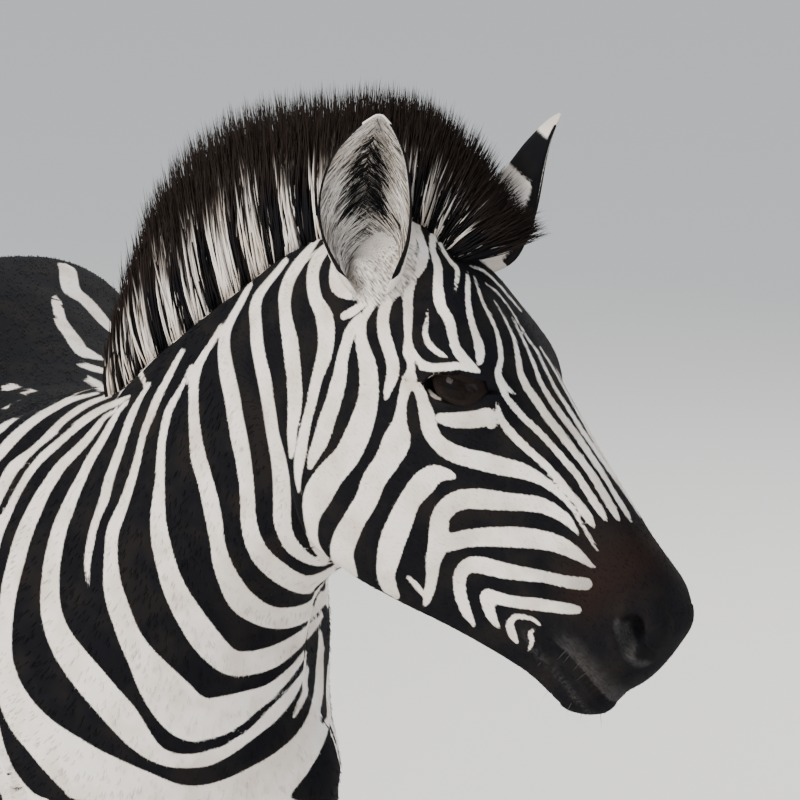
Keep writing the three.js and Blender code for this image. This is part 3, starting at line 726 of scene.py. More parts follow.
# ---------------------------------------------------------------- stripes
# The coat is black with white stripes. Those the picture shows are strokes, given one by one: places across
# and down its 800 by 800 frame with the stripe's half width, for the camera above.
HEAD_WHITE = {
    "rim under the ear": [
        (334, 262, 3), (334, 276, 5), (338, 288, 7), (350, 292, 8), (368, 286, 9), (384, 276, 9),
        (398, 264, 9), (407, 250, 9), (410, 238, 7), (409, 226, 6), (413, 216, 5),
    ],
    "wedge under the ear": [(344, 316, 4), (350, 313, 4.5), (358, 308, 4), (367, 302, 2.5), (372, 298, 1)],
    "ear to temple": [
        (413, 216, 5), (418, 228, 3), (421, 240, 4), (424, 252, 5), (421, 264, 6), (414, 274, 6),
        (405, 282, 6), (394, 291, 5), (387, 303, 5.5), (383, 318, 6), (384, 333, 6.5), (389, 350, 6.5),
        (393, 365, 6.5), (392, 378, 6), (388, 389, 4.5), (386, 398, 2.5),
    ],
    "temple to eye": [
        (412, 280, 5), (408, 296, 5), (408, 310, 5), (408, 325, 4.5), (408, 340, 4), (410, 354, 7),
        (418, 363, 6), (430, 367.5, 4.5), (445, 367, 4.5), (458, 366, 4), (470, 368, 4), (478, 371, 2.5),
    ],
    "behind the eye": [
        (410, 354, 6), (411, 368, 4), (409, 382, 8), (403, 398, 5), (400, 420, 7), (397, 440, 14),
        (387.5, 460, 12.5), (374, 480, 12), (366.5, 500, 11.5), (354.5, 520, 11.5), (344.5, 540, 12.5),
        (342, 555, 11.5), (348, 568, 8), (353, 577, 5),
    ],
    "jowl": [
        (399, 277, 2), (388, 286, 3), (377, 297, 3.5), (370, 308, 4), (363, 320, 4.5), (361, 334, 5.5),
        (363, 348, 7), (367, 362, 8.5), (369, 380, 9.5), (368, 400, 10.5), (363, 420, 12), (355, 440, 13),
        (346, 457, 13), (330, 475, 14), (318, 495, 14.5), (312, 515, 9), (312, 530, 6), (315, 545, 4.5),
        (325, 560, 4),
    ],
    "under the eye": [
        (419, 388, 6), (423, 402, 6), (427, 416, 8), (430, 430, 8), (437, 441, 8), (449, 451, 9),
        (465, 457, 9), (485, 462, 9.5), (505, 467, 9), (522, 471, 8), (538, 478, 6), (550, 486, 4.5),
        (562, 496, 3.5), (573, 509, 2.5), (581, 523, 2), (590, 538, 2), (598, 551, 1),
    ],
    "patch under the eye": [
        (440, 418, 5), (452, 420, 7.5), (465, 420, 8.5), (478, 419, 9), (488, 417, 9), (491, 423, 6),
    ],
    "cheek": [
        (453, 476, 3.5), (443, 474, 7), (433, 475, 10), (424, 483, 12.5), (410, 500, 11), (401, 520, 12.5),
        (393, 540, 13), (388, 560, 11.5), (386, 576, 9), (391, 590, 7), (396, 596, 4),
    ],
    "cheek fork": [
        (462, 499, 10), (450, 505, 10), (441, 516, 9.5), (439, 530, 10), (438, 545, 10), (433.5, 560, 8),
        (432, 576, 6), (430, 588, 5.5), (427, 600, 4), (425, 605, 2),
    ],
    "jaw sliver": [(408, 577, 2), (414, 583, 3), (420, 590, 3), (425, 597, 2)],
    "upper lip 1": [
        (455, 502, 10), (467, 499, 10), (480, 499, 10.5), (500, 501, 9.5), (520, 502.5, 8.5), (540, 505, 8),
        (556, 512, 6.5), (567, 520, 5), (575, 530, 2.5), (579, 535, 1),
    ],
    "upper lip 2": [
        (440, 545, 9), (452, 542, 9), (465, 539, 9), (485, 537, 9.5), (510, 537, 10.5), (535, 539, 10),
        (555, 543, 9), (570, 550, 7.5), (582, 558, 5), (591, 565, 2.5), (595, 567, 1),
    ],
    "upper lip 3": [
        (474, 625, 2), (467, 613, 5), (462, 600, 6), (459.5, 587, 6.5), (461, 573, 7), (470, 565, 8),
        (485, 566, 8.5), (505, 571, 8), (525, 574, 7), (545, 577, 6), (562, 581, 6), (575, 583, 6.5),
        (586, 584, 6.5),
    ],
    "upper lip 4": [
        (499, 628, 1.5), (492, 617, 5), (488, 604, 6.5), (487, 596, 7), (497, 598, 6.5), (515, 602, 6),
        (535, 604, 6.5), (555, 607, 6), (570, 609, 5.5), (577, 610, 4.5),
    ],
    "mouth corner 1": [
        (517, 642, 2), (512, 633, 4.5), (510, 624, 4), (515, 617, 3), (524, 617, 2.5), (534, 620, 2),
        (540, 625, 1.5),
    ],
    "mouth corner 2": [(534, 629, 1.5), (530, 634, 2.5), (532, 641, 2.5), (529, 650, 1.5)],
    "brow": [
        (433, 236, 4), (433, 250, 3), (438, 267, 4.5), (438, 283, 5), (439, 298, 6), (442, 309, 5.5),
        (448, 318, 5.2), (451, 327, 5.3), (453, 337, 4.8), (456, 348, 5), (463, 358, 5.5), (471, 366, 4.5),
        (478, 371, 2),
    ],
    "leaf": [
        (427.5, 310, 0.7), (427, 320, 2), (425, 332, 3), (428, 342, 3.5), (435, 350, 3.5), (442, 355, 2.5),
        (447, 357, 1),
    ],
    "forehead 1": [
        (440, 243, 2), (446, 255, 2), (452, 263, 2), (457, 269, 2.5), (457, 280, 2.5), (455.5, 288, 1.7),
        (454.5, 295, 0.7),
    ],
    "forehead 2": [
        (467, 272, 1), (468, 283, 2.7), (468, 300, 2.8), (470.5, 317, 3.3), (475, 333, 3.7),
        (478.5, 343, 4.7), (480, 353, 5), (480, 361, 3.5), (479, 364, 1.5),
    ],
    "forehead 3": [
        (474, 276, 0.8), (478, 288, 1.5), (483, 303, 1.6), (491, 318, 2), (497, 333, 2), (500, 347, 2.7),
        (501, 360, 3), (498, 373, 3.5), (501, 382, 4), (508, 389, 2.5), (515, 394, 1),
    ],
    "face 1": [
        (497, 403, 1.5), (499, 413, 3), (504, 424, 4), (512, 434, 4.5), (522, 444, 4.3), (533, 454, 4),
        (545, 465, 4), (556, 477, 4), (566, 489, 4), (576, 501, 4), (584, 511, 4.5), (590, 520, 4),
        (594, 527, 1.5),
    ],
    "face 2": [
        (500, 383, 3.5), (505, 395, 3), (511, 403, 3.3), (523, 417, 3.5), (538, 431, 3.5), (553, 447, 3.3),
        (566, 462, 3.7), (577, 475, 3.7), (586, 489, 4), (595, 503, 4), (602, 513, 3.5), (606, 521, 1.5),
    ],
    "face 3": [
        (494, 300, 0.6), (507, 323, 1.2), (515, 342, 2), (518, 358, 3), (521, 375, 3.5), (527, 387, 4),
        (536, 400, 4.3), (546, 415, 4.3), (558, 430, 4.2), (570, 446, 4), (582, 461, 3.8), (592, 475, 3.8),
        (600, 488, 4), (608, 501, 4), (615, 513, 3.5), (619, 520, 1.5),
    ],
    "face 4": [
        (512, 317, 0.7), (520, 333, 1.2), (528, 350, 1.5), (535, 367, 2), (541, 383, 2.5), (551, 400, 3),
        (563, 417, 3.3), (576, 434, 3.3), (588, 452, 3.2), (599, 468, 3), (609, 484, 2.4), (618, 499, 2.6),
        (626, 512, 2.6), (632, 522, 1),
    ],
    "face 5": [
        (514, 315, 0.7), (527, 337, 1.1), (538, 353, 1.4), (546, 370, 1.6), (554, 386, 1.7), (566, 405, 2),
        (580, 427, 2.3), (595, 449, 2.3), (609, 469, 2.5), (622, 487, 2.3), (634, 505, 2), (641, 517, 1.2),
    ],
    "face 6": [
        (540, 347, 0.8), (552, 366, 1.1), (565, 389, 1.2), (580, 416, 1.3), (596, 444, 1.5), (613, 468, 2),
        (630, 491, 2.2), (643, 509, 1.8), (651, 521, 1),
    ],
    "forehead 4": [(460, 246, 1), (470, 255, 1.3), (480, 259, 1.2), (490, 267, 1.2)],
    "forehead 5": [
        (470, 266, 1), (480, 269, 1.5), (490, 276, 1.3), (500, 286, 1), (512, 300, 1), (522, 312, 0.8),
    ],
    "forehead 6": [(485, 283, 0.8), (497, 292, 1), (507, 305, 1), (516, 318, 0.8)],
    "pale lower lid": [(429, 390, 1.8), (433, 395, 2.2), (440, 399, 1.5)],
}
NECK_WHITE = {
    "nape 1": [
        (365, 313, 1.5), (358, 320, 4), (351, 330, 5.5), (346, 345, 5.5), (342, 360, 6), (340, 375, 7),
        (337, 388, 8), (334, 400, 8), (327, 420, 8.5), (321, 440, 8), (314, 455, 6), (310, 467, 3),
    ],
    "nape 2": [
        (331, 243, 3), (324, 250, 5), (317, 260, 6), (313, 272, 6), (313, 285, 6.5), (316, 300, 7),
        (323, 313, 8.5), (326, 328, 9), (326, 345, 8), (323, 360, 7.5), (318, 375, 6), (314, 390, 5.5),
        (311, 405, 5), (307, 420, 5), (303, 440, 5.5), (299.5, 460, 5.5), (298, 478, 3.5), (299, 492, 1.5),
    ],
    "nape 3": [
        (320, 236, 2), (309, 250, 4), (300, 262, 5.5), (290, 278, 6), (285, 295, 6.5), (285, 310, 6),
        (287, 325, 7), (290, 340, 8), (292, 358, 8), (294, 376, 7.5), (295, 395, 7.5), (294, 415, 6.5),
        (292, 432, 5), (292, 446, 4), (291, 457, 2),
    ],
    "neck 1": [
        (286, 260, 3), (276, 273, 3.5), (266, 285, 4), (258, 297, 5), (255, 310, 6), (256, 325, 6),
        (257, 342, 6.5), (260, 360, 6.5), (264, 378, 7), (267, 396, 6.5), (270, 415, 6.5), (273, 435, 6.5),
        (278, 457, 7.5), (281, 478, 8.5), (282, 500, 9), (282, 518, 9), (285, 533, 8), (292, 546, 7.5),
        (302, 555, 6), (314, 562, 4), (325, 564, 2),
    ],
    "neck 2": [
        (250, 284, 3), (241, 302, 3.5), (232, 318, 4), (226, 331, 5), (224, 345, 6), (225, 360, 7),
        (228, 378, 8), (232, 396, 8), (235, 415, 8), (239, 437, 8.5), (243, 458, 8), (246, 480, 7.5),
        (247.5, 500, 7.5), (248.5, 520, 8), (253, 540, 9), (262, 557, 10), (276, 570, 10.5), (293, 581, 10),
        (308, 585, 9), (322, 578, 6), (333, 569, 3),
    ],
    "neck 3": [
        (222, 325, 2.5), (211, 344, 3), (204, 355, 3.5), (198, 366, 4.5), (194, 380, 5), (193.5, 400, 5),
        (194, 420, 5.5), (196, 440, 6.5), (199, 460, 8), (205, 480, 8), (210, 500, 8.5), (214, 520, 8.5),
        (217, 540, 7.5), (221, 560, 9), (229, 580, 11), (241, 600, 13), (257, 612, 12), (275, 618, 11),
        (293, 617, 10), (308, 611, 8), (322, 599, 6), (333, 586, 4), (342, 573, 2),
    ],
    "neck 4": [
        (192, 366, 2.5), (183, 384, 2.5), (176, 397, 3), (169, 410, 4), (165, 425, 4), (162, 440, 4),
        (160.5, 460, 4.5), (160, 480, 5), (158.5, 500, 6.5), (158, 520, 8), (160.5, 540, 9.5), (165, 560, 10),
        (171, 580, 11), (180, 600, 12.5), (192, 620, 14), (206, 640, 15), (219, 654, 14), (232, 663, 13),
        (250, 663, 12), (270, 658, 11), (288, 648, 8.5), (303, 636, 6), (315, 624, 4), (322, 615, 2),
    ],
    "neck 5": [
        (183, 350, 2.5), (175, 364, 3), (167, 380, 3.5), (158, 397, 4), (151, 414, 4), (144, 432, 3.5),
        (140, 448, 3.5), (136, 465, 4), (131, 482, 4.5), (125, 500, 5), (119, 515, 6), (113, 530, 6.5),
        (111, 548, 6.5), (111, 565, 7.5), (112, 582, 9), (116, 600, 10.5), (123, 620, 11), (131, 640, 12),
        (143, 660, 15), (156, 680, 20), (172, 700, 24), (188, 716, 24), (205, 720, 22), (228, 713, 18),
        (250, 702, 12), (270, 692, 8), (285, 679, 6), (297, 665, 4), (305, 652, 2),
    ],
    "shoulder sliver": [
        (150, 383, 2), (142, 395, 2.5), (135, 408, 3.5), (129, 422, 4), (123, 440, 4), (116, 460, 4.5),
        (109, 480, 5), (104, 500, 5), (98, 515, 4), (93, 530, 4), (90, 545, 4), (87.5, 560, 3.5),
        (87.5, 575, 2.5), (88, 587, 1.5),
    ],
    "shoulder 1": [
        (127, 402, 2), (118, 412, 2.5), (111, 424, 3.5), (101, 442, 4), (90, 460, 4.5), (82, 477, 5),
        (74, 493, 6), (67, 510, 7), (60, 527, 7.5), (55.5, 545, 8), (52, 563, 8.5), (50.5, 580, 9),
        (50, 600, 10), (53, 620, 11), (61, 640, 13), (74, 660, 15), (90, 680, 16), (107, 700, 16),
        (123, 718, 16), (139, 738, 13), (155, 753, 9), (172, 760, 7.5), (188, 761, 7), (206, 759, 7.5),
        (228, 750, 6), (250, 734, 6), (270, 717, 7), (287, 699, 6), (300, 678, 4), (308, 655, 2),
    ],
    "throat sliver": [(294, 716, 2), (299, 706, 3), (305, 693, 3), (305, 682, 2.5), (308, 668, 1.5)],
    "shoulder 2": [
        (128, 403, 1), (114, 411, 1.5), (104, 418, 2.5), (97, 427, 3.5), (89, 437, 4), (80, 447, 4.5),
        (70, 457, 5), (61, 466, 5.5), (52, 479, 6), (43, 493, 6.5), (36, 507, 7.5), (29, 522, 8),
        (22, 540, 8.5), (17, 558, 8.5), (12, 577, 8.5), (8, 597, 8), (5, 620, 8), (4, 640, 8), (4, 660, 9),
        (7, 680, 12), (14, 700, 15), (26, 720, 18), (43, 738, 20), (62, 755, 24), (88, 775, 28),
        (115, 790, 30), (145, 803, 30), (175, 812, 28), (205, 812, 27), (235, 803, 26), (262, 788, 24),
        (285, 770, 20), (303, 750, 16), (315, 730, 13), (321, 710, 11), (323, 690, 9), (322, 665, 6),
        (321, 645, 3), (320, 630, 1.5),
    ],
    "shoulder 3": [
        (130, 396, 1.5), (118, 402, 3), (104, 408, 3.5), (92, 415, 4), (78, 425, 4.5), (65, 436, 4.5),
        (52, 448, 4.5), (40, 459, 4.5), (30, 471, 4.5), (21, 485, 4.5), (13, 500, 4.5), (6, 515, 5),
        (-1, 530, 5.5), (-8, 550, 6), (-14, 575, 7), (-18, 610, 8), (-19, 650, 9), (-18, 690, 10),
        (-12, 730, 12), (0, 768, 12), (16, 792, 12), (38, 815, 13),
    ],
    "shoulder 4": [
        (113, 395, 1.5), (100, 399, 2.5), (88, 404, 3), (76, 411, 3.5), (64, 420, 3.5), (54, 430, 4),
        (44, 441, 4.5), (33, 451, 4.5), (22, 460, 5.5), (13, 468, 6), (6, 480, 6), (0, 492, 6), (-8, 508, 6),
        (-18, 530, 7), (-28, 560, 8),
    ],
    "shoulder 5": [
        (98, 393, 1.5), (85, 396, 2), (70, 400, 3), (58, 406, 3.5), (45, 413, 4), (32, 422, 4.5),
        (20, 432, 5), (10, 442, 5.5), (0, 453, 5.5), (-12, 468, 5.5), (-25, 487, 6),
    ],
    "shoulder 6": [
        (70, 393, 1), (55, 397, 1.5), (45, 402, 2), (33, 408, 2), (20, 415, 2), (8, 423, 3), (0, 430, 3.5),
        (-14, 440, 4),
    ],
    "shoulder 7": [
        (55, 393, 1), (42, 394, 2), (30, 397, 2.8), (18, 402, 3), (8, 408, 3.5), (0, 412, 4), (-14, 419, 4),
    ],
    "shoulder 8": [(37, 391, 2), (28, 392, 3), (20, 395, 1.5)],
    "shoulder 9": [(22, 387, 1.5), (12, 386, 3), (2, 389, 4), (-12, 393, 4)],
    "back 1": [
        (44, 250, 1.5), (54, 255, 3), (62, 262, 5), (67, 270, 8), (69, 280, 9.5), (70, 288, 8), (80, 296, 5),
        (88, 303, 5.5), (97, 313, 5.5), (107, 325, 5), (117, 337, 5), (126, 350, 4), (134, 362, 3),
        (141, 375, 3), (147, 387, 2),
    ],
    "back 2": [
        (56, 300, 5), (58, 310, 6), (61, 322, 6), (69, 333, 6), (76, 343, 7), (82, 351, 6), (92, 355, 4),
        (102, 359, 2),
    ],
    "back 3": [(79, 363, 3), (88, 367, 3.5), (100, 370, 3), (112, 374, 3), (124, 380, 3), (127, 382, 1.5)],
    "back 4": [(85, 378, 3.5), (93, 382, 4), (102, 387, 4), (112, 391, 2)],
}
BLACK_STROKES = {
    "throat slit": [(325, 655, 2), (327, 675, 3.5), (327, 695, 4), (324, 712, 4), (322, 722, 2)],
    "ear line": [(346, 262, 1.5), (348, 278, 1.8), (351, 287, 2), (362, 284, 1.5)],
    "tail of the eye": [(415, 362, 1.2), (419, 373, 2), (425, 386, 1.6), (430, 397, 1.6), (437, 408, 2.5)],
    "throat fold": [
        (196, 745, 4), (224, 739, 4), (244, 728, 4.4), (266, 708, 3), (286, 688, 2.8), (303, 666, 2.6),
        (316, 642, 2.6),
    ],
    "top of the shoulder": [
        (0, 512, 3.4), (11, 490, 3.4), (21, 473, 3.2), (31, 460, 2.8), (45, 446, 2.4), (58, 436, 2.2),
        (72, 424, 1.8),
    ],
    "tongue by the eye": [
        (412, 392, 1.5), (411, 402, 4), (411, 420, 4.5), (415, 434, 5), (421, 446, 6), (425, 455, 8),
    ],
}
TRIM = 0.35  # taken off each side of a stroke, so that thin gaps between strokes stay open
SADDLE = 105  # reach of the dark band over the back, each way from the midline
DEEP, FAR_OFF = 24.0, 40.0  # where the markings' distances are cut off, and one past any of them


def away_from_stroke(stroke, across, down):
    """How far places on the picture lie outside a stroke, below zero inside it."""
    route = curve(stroke, np.linspace(0, 1, 3 * len(stroke)))
    result = np.full(len(across), FAR_OFF)
    low, high = route.min(axis=0), route.max(axis=0)
    margin = DEEP + high[2]
    near = (across > low[0] - margin) & (across < high[0] + margin)
    near = np.flatnonzero(near & (down > low[1] - margin) & (down < high[1] + margin))
    for start, end in zip(route[:-1], route[1:]):
        run = end[:2] - start[:2]
        share = ((across[near] - start[0]) * run[0] + (down[near] - start[1]) * run[1]) / max(run @ run, 1e-6)
        share = np.clip(share, 0, 1)
        gap = np.hypot(across[near] - start[0] - share * run[0], down[near] - start[1] - share * run[1])
        half = start[2] + share * (end[2] - start[2])
        result[near] = np.minimum(result[near], gap - half)
    return result


def picture_marks(across, down):
    """The markings at places on the picture: above zero black, below zero white, roughly in millimetres."""
    value = np.full(len(across), DEEP)
    for stroke in [*NECK_WHITE.values(), *HEAD_WHITE.values()]:
        value = np.minimum(value, away_from_stroke(stroke, across, down) + TRIM)
    for stroke in BLACK_STROKES.values():
        value = np.maximum(value, -away_from_stroke(stroke, across, down))
    return value


def on_picture(points):
    """Where places land across and down the picture."""
    ahead = points - CAMERA_PLACE
    depth = -(ahead @ CAMERA_BACKWARD)
    scale = PICTURE_FOCUS / depth
    return PICTURE / 2 + ahead @ CAMERA_RIGHT * scale, PICTURE / 2 - ahead @ CAMERA_UP * scale


SEEN_FACING = 0.02, 0.2  # how squarely the skin faces the camera where the picture's marks fade in
SEEN_LEFT, SEEN_LOW = (-22, 4), (PICTURE + 14, PICTURE - 10)  # the same for two edges of the picture
SIGHT_OUT, SIGHT_BACK = 5, 6  # where a line of sight starts, off the skin and towards the camera


def seen(points, normals, tree):
    """1 where the camera sees the skin well and within the picture, 0 where it doesn't."""
    across, down = on_picture(points)
    facing = smooth_step(*SEEN_FACING, normals @ CAMERA_BACKWARD)
    framed = smooth_step(*SEEN_LEFT, across) * smooth_step(*SEEN_LOW, down)
    share = facing * framed
    backward = tuple(CAMERA_BACKWARD)
    for i in np.flatnonzero(share > 0):
        start = points[i] + normals[i] * SIGHT_OUT + CAMERA_BACKWARD * SIGHT_BACK
        if tree.ray_cast(tuple(start), backward)[0] is not None:
            share[i] = 0
    return share


NECK_FADE = -170, 160  # where along the neck's frame the trunk ends


def region_shares(points):
    """Shares of the trunk, neck and head at each point."""
    head = near_head(points)
    neck = smooth_step(*NECK_FADE, NECK.local(points)[:, 0]) * (1 - head)
    return np.stack([1 - neck - head, neck, head])


def other_side(points):
    """The same places on the other side of the trunk, neck and head, which are bent against each other."""
    result = np.zeros_like(points)
    for share, place in zip(region_shares(points), (BODY, NECK, HEAD)):
        local = place.local(points)
        local[:, 1] *= -1
        result += share[:, None] * (place.origin + local @ place.axes)
    return result


def side_of(points):
    """How far each point is to the left of the bent midline."""
    shares = region_shares(points)
    return sum(share * place.local(points)[:, 1] for share, place in zip(shares, (BODY, NECK, HEAD)))


# Bands out of sight: a stripe and a gap together, in millimetres.
BAND_SHOULDER, BAND_GROWTH, BAND_BARREL = 47.0, 0.13, 104.0
BAND_HOOF, BAND_LEG_GROWTH = 29.0, 0.030
SHOULDER_LINE, SLANT, SLANT_TOP, SLANT_MOST = 495, 0.0023, 1110, 120  # the first band, bent back lower down
HAUNCH_CENTRE, HAUNCH_REACH, HAUNCH_FADE = (-670, 590), 1300, (130, -190)  # arcs round a point behind
NECK_BAND, CHEST_BAND, CHEST_START, CHEST_FADE = 50.0, 56.0, 15.6, (500, 590)
FORE_START, HIND_START = 21.6, 32.4  # bands counted before the legs' own, so that they meet the trunk's
HALF_WHITE, HALF_WHITE_MORE = 0.225, 0.03  # half a band's white share, and what a lower leg adds to it
BELLY_LINE, MUZZLE_START, PASTERN_TOP = 17, 425, 118  # a half width, a place along the head and a height
BELLY_TOP, BELLY_END = 760, 330  # where the belly's line is looked for
SADDLE_REAR, SADDLE_FRONT = (-520, -380), (430, 330)  # where the dark saddle fades in and out again
SADDLE_EXTRA, SADDLE_WAVE, SADDLE_SHADE, SADDLE_FADE = 15, 37, 26, 95  # its least reach, waves and soft edge
FORE_FADE, FORE_WIDE, HIND_FADE, HIND_WIDE = (850, 660), (170, 100), (830, 560), (-330, -400)  # leg bands


def band_count(reach):
    """Bands counted backwards from the shoulder, wider and wider until the barrel."""
    even = (BAND_BARREL - BAND_SHOULDER) / BAND_GROWTH
    growing = np.log1p(BAND_GROWTH * np.clip(reach, -200, even) / BAND_SHOULDER) / BAND_GROWTH
    return growing + np.maximum(reach - even, 0) / BAND_BARREL


def trunk_bands(points):
    """Bands counted back over the trunk: upright on the barrel, arcs on the haunch, level on the chest."""
    x, y, z = points.T
    slant = SLANT * np.maximum(SLANT_TOP - z, 0) ** 2
    wave = 14 * np.sin(z / 95 + x / 120) + 9 * np.sin(z / 51 - x / 90 + 2)
    front = SHOULDER_LINE + np.minimum(slant, SLANT_MOST) - x + wave
    arc = HAUNCH_REACH - np.hypot(x - HAUNCH_CENTRE[0], z - HAUNCH_CENTRE[1]) + wave
    behind = smooth_step(*HAUNCH_FADE, x)
    count = band_count(front + (arc - front) * behind)
    chest = smooth_step(*CHEST_FADE, x)
    return count * (1 - chest) + chest * ((z + 0.5 * np.abs(y)) / CHEST_BAND - CHEST_START)


def leg_bands(points):
    """Level bands counted down a leg, narrower and narrower to the hoof."""
    x, y, z = points.T
    wave = 5 * np.sin(x / 31 + y / 23) + 0.10 * (x - np.where(x > 0, FORE_X, HIND_X))
    return -np.log1p(BAND_LEG_GROWTH * np.maximum(z + wave, 0) / BAND_HOOF) / BAND_LEG_GROWTH


def bands_at(points):
    """Counts bands over the parts that the picture hides. The legs' own take over from the trunk's."""
    x, _, z = points.T
    fore = smooth_step(*FORE_FADE, z) * smooth_step(*FORE_WIDE, np.abs(x - FORE_X + 10))
    hind = smooth_step(*HIND_FADE, z + 0.35 * (x + 560)) * smooth_step(*HIND_WIDE, x)
    top = np.where(x > 0, fore, hind)
    start = np.where(x > 0, FORE_START, HIND_START)
    value = trunk_bands(points) * (1 - top) + (leg_bands(points) + start) * top
    trunk, neck, head = region_shares(points)
    ring = NECK.local(points)[:, 0] / -NECK_BAND
    return value * trunk + ring * (neck + head)


def hidden_marks(points):
    """Markings of the parts that the picture hides, finished from the species."""
    count = bands_at(points)
    steep = np.maximum(np.linalg.norm(gradient(bands_at, points, count, 2.0), axis=1), 0.006)
    x, y, z = points.T
    share = HALF_WHITE + HALF_WHITE_MORE * smooth_step(700, 420, z)
    value = (np.abs(count - np.round(count)) - share) / steep
    trunk, _, head = region_shares(points)
    back = columns(TRUNK_ROWS, x)[1]
    girth = np.hypot(y, np.maximum(back - z, 0))
    saddle = SADDLE * smooth_step(*SADDLE_REAR, x) * smooth_step(*SADDLE_FRONT, x) + SADDLE_EXTRA
    saddle = saddle * (1 + 0.25 * np.sin(x / SADDLE_WAVE))
    upper = (z > 1000) & (trunk > 0.4)
    value = value + np.where(upper, SADDLE_SHADE * smooth_step(saddle + SADDLE_FADE, saddle, girth), 0)
    dark_places = (
        (upper, saddle - girth),
        ((z < BELLY_TOP) & (np.abs(x) < BELLY_END), BELLY_LINE - np.abs(y)),
        (head > 0.5, HEAD.local(points)[:, 0] - MUZZLE_START),
        (z < PASTERN_TOP, PASTERN_TOP - z),
    )
    for where, depth in dark_places:
        value = np.maximum(value, np.where(where, depth, -FAR_OFF))
    return np.clip(value, -DEEP, DEEP)


MIRROR_GAP, MIRROR_SIDE = (45, 25), (-30, 10)  # how near the mirrored place has to be, and on which side


def marks_on(points, normals, tree):
    """The markings of the skin: the picture's side, its mirror image, and the rest."""
    near = seen(points, normals, tree)
    marks = picture_marks(*on_picture(points))
    hidden = hidden_marks(points)
    turned = other_side(points)
    found = [tree.find_nearest(tuple(place)) for place in turned]
    mirror = np.array([hit[0] for hit in found])
    mirror_normals = np.array([hit[1] for hit in found])
    close = smooth_step(*MIRROR_GAP, np.linalg.norm(mirror - turned, axis=1))
    far = seen(mirror, mirror_normals, tree) * close * smooth_step(*MIRROR_SIDE, side_of(points))
    far_marks = picture_marks(*on_picture(mirror))
    return near * marks + (1 - near) * (far * far_marks + (1 - far) * hidden)


# How often the coat's streaks change across and along them, per millimetre, and which way the hair lies.
FINE_STREAK, LONG_STREAK = 0.62, 0.085
FLOWS = [
    place.axes.T @ unit(way)
    for place, way in ((BODY, (-0.85, 0, -0.5)), (NECK, (-1, 0, -0.4)), (HEAD, (-1, 0, -0.15)))
]


def coat_lie(points):
    """Places for the noise of the coat, drawn out along the lie of the hair."""
    result = np.zeros_like(points)
    for share, flow in zip(region_shares(points), FLOWS):
        along = (points @ flow)[:, None] * flow
        result += share[:, None] * (FINE_STREAK * (points - along) + LONG_STREAK * along)
    return result


# ---------------------------------------------------------------- ears
# Width of an ear's leaf and how far it wraps round, from its root (0) to its tip (1).
EAR_ROWS = [
    [0, 0.62, 150],
    [0.12, 0.8, 138],
    [0.3, 0.98, 112],
    [0.5, 1.0, 92],
    [0.7, 0.84, 76],
    [0.85, 0.56, 68],
    [0.95, 0.3, 64],
    [1, 0.12, 62],
]
EARS = {
    "right": {
        "base": HEAD.place(36, -62, -64),
        "tip": HEAD.place(-84, -106, 62),
        "facing": (0.95, -0.3, 0.05),
        "bow": -10,
        "belly": -14,
    },
    "left": {
        "base": HEAD.place(54, 60, -22),
        "tip": HEAD.place(-6, 106, 132),
        "facing": (0.35, 0.93, 0),
        "bow": 0,
        "belly": 14,
    },
}
EAR_ARC, EAR_RINGS = 22, 30
EAR_RIM, EAR_BAND, EAR_ROOT, EAR_TIP = 0.07, 0.72, 0.1, 0.93  # where an ear's black and white markings are


def ear_wall(ear, v, share, inner, thin=1.0):
    """Points of an ear's wall: v up the leaf, share round it from edge to edge, inner on its inside."""
    base, tip = ear["base"], ear["tip"]
    along = unit(tip - base)
    facing = np.array(ear["facing"], float)
    opening = unit(facing - facing @ along * along)
    across = np.cross(along, opening)
    width, wrap = columns(EAR_ROWS, v)
    wrap = np.radians(wrap)
    bend = EAR_WIDTH * width / 2 / np.sin(np.minimum(wrap, math.pi / 2))
    radius = bend - thin
    radius = np.where(inner, np.maximum(radius - EAR_WALL + 2 * thin, radius * 0.45), radius)
    angle = wrap * (2 * share - 1) * np.where(inner, 0.97, 1)
    rise = np.sin(math.pi * v)
    centre = base + v[:, None] * (tip - base) + (ear["bow"] * rise)[:, None] * across
    centre += (bend * 0.35 + ear["belly"] * rise)[:, None] * opening
    return centre + (radius * np.sin(angle))[:, None] * across - (radius * np.cos(angle))[:, None] * opening


def ring_faces(rings, count):
    """Triangles of a closed tube of rings of points, with a middle point for each end after them."""
    r, i = np.meshgrid(np.arange(rings - 1), np.arange(count), indexing="ij")
    a, b = r * count + i, r * count + (i + 1) % count
    halves = (a, b, b + count), (a, b + count, a + count)
    walls = [np.stack(corners, -1).reshape(-1, 3) for corners in halves]
    here, ahead = np.arange(count), (np.arange(count) + 1) % count
    last = (rings - 1) * count
    low = np.stack([np.full(count, rings * count), ahead, here], 1)
    high = np.stack([np.full(count, rings * count + 1), last + here, last + ahead], 1)
    return np.vstack([*walls, low, high])


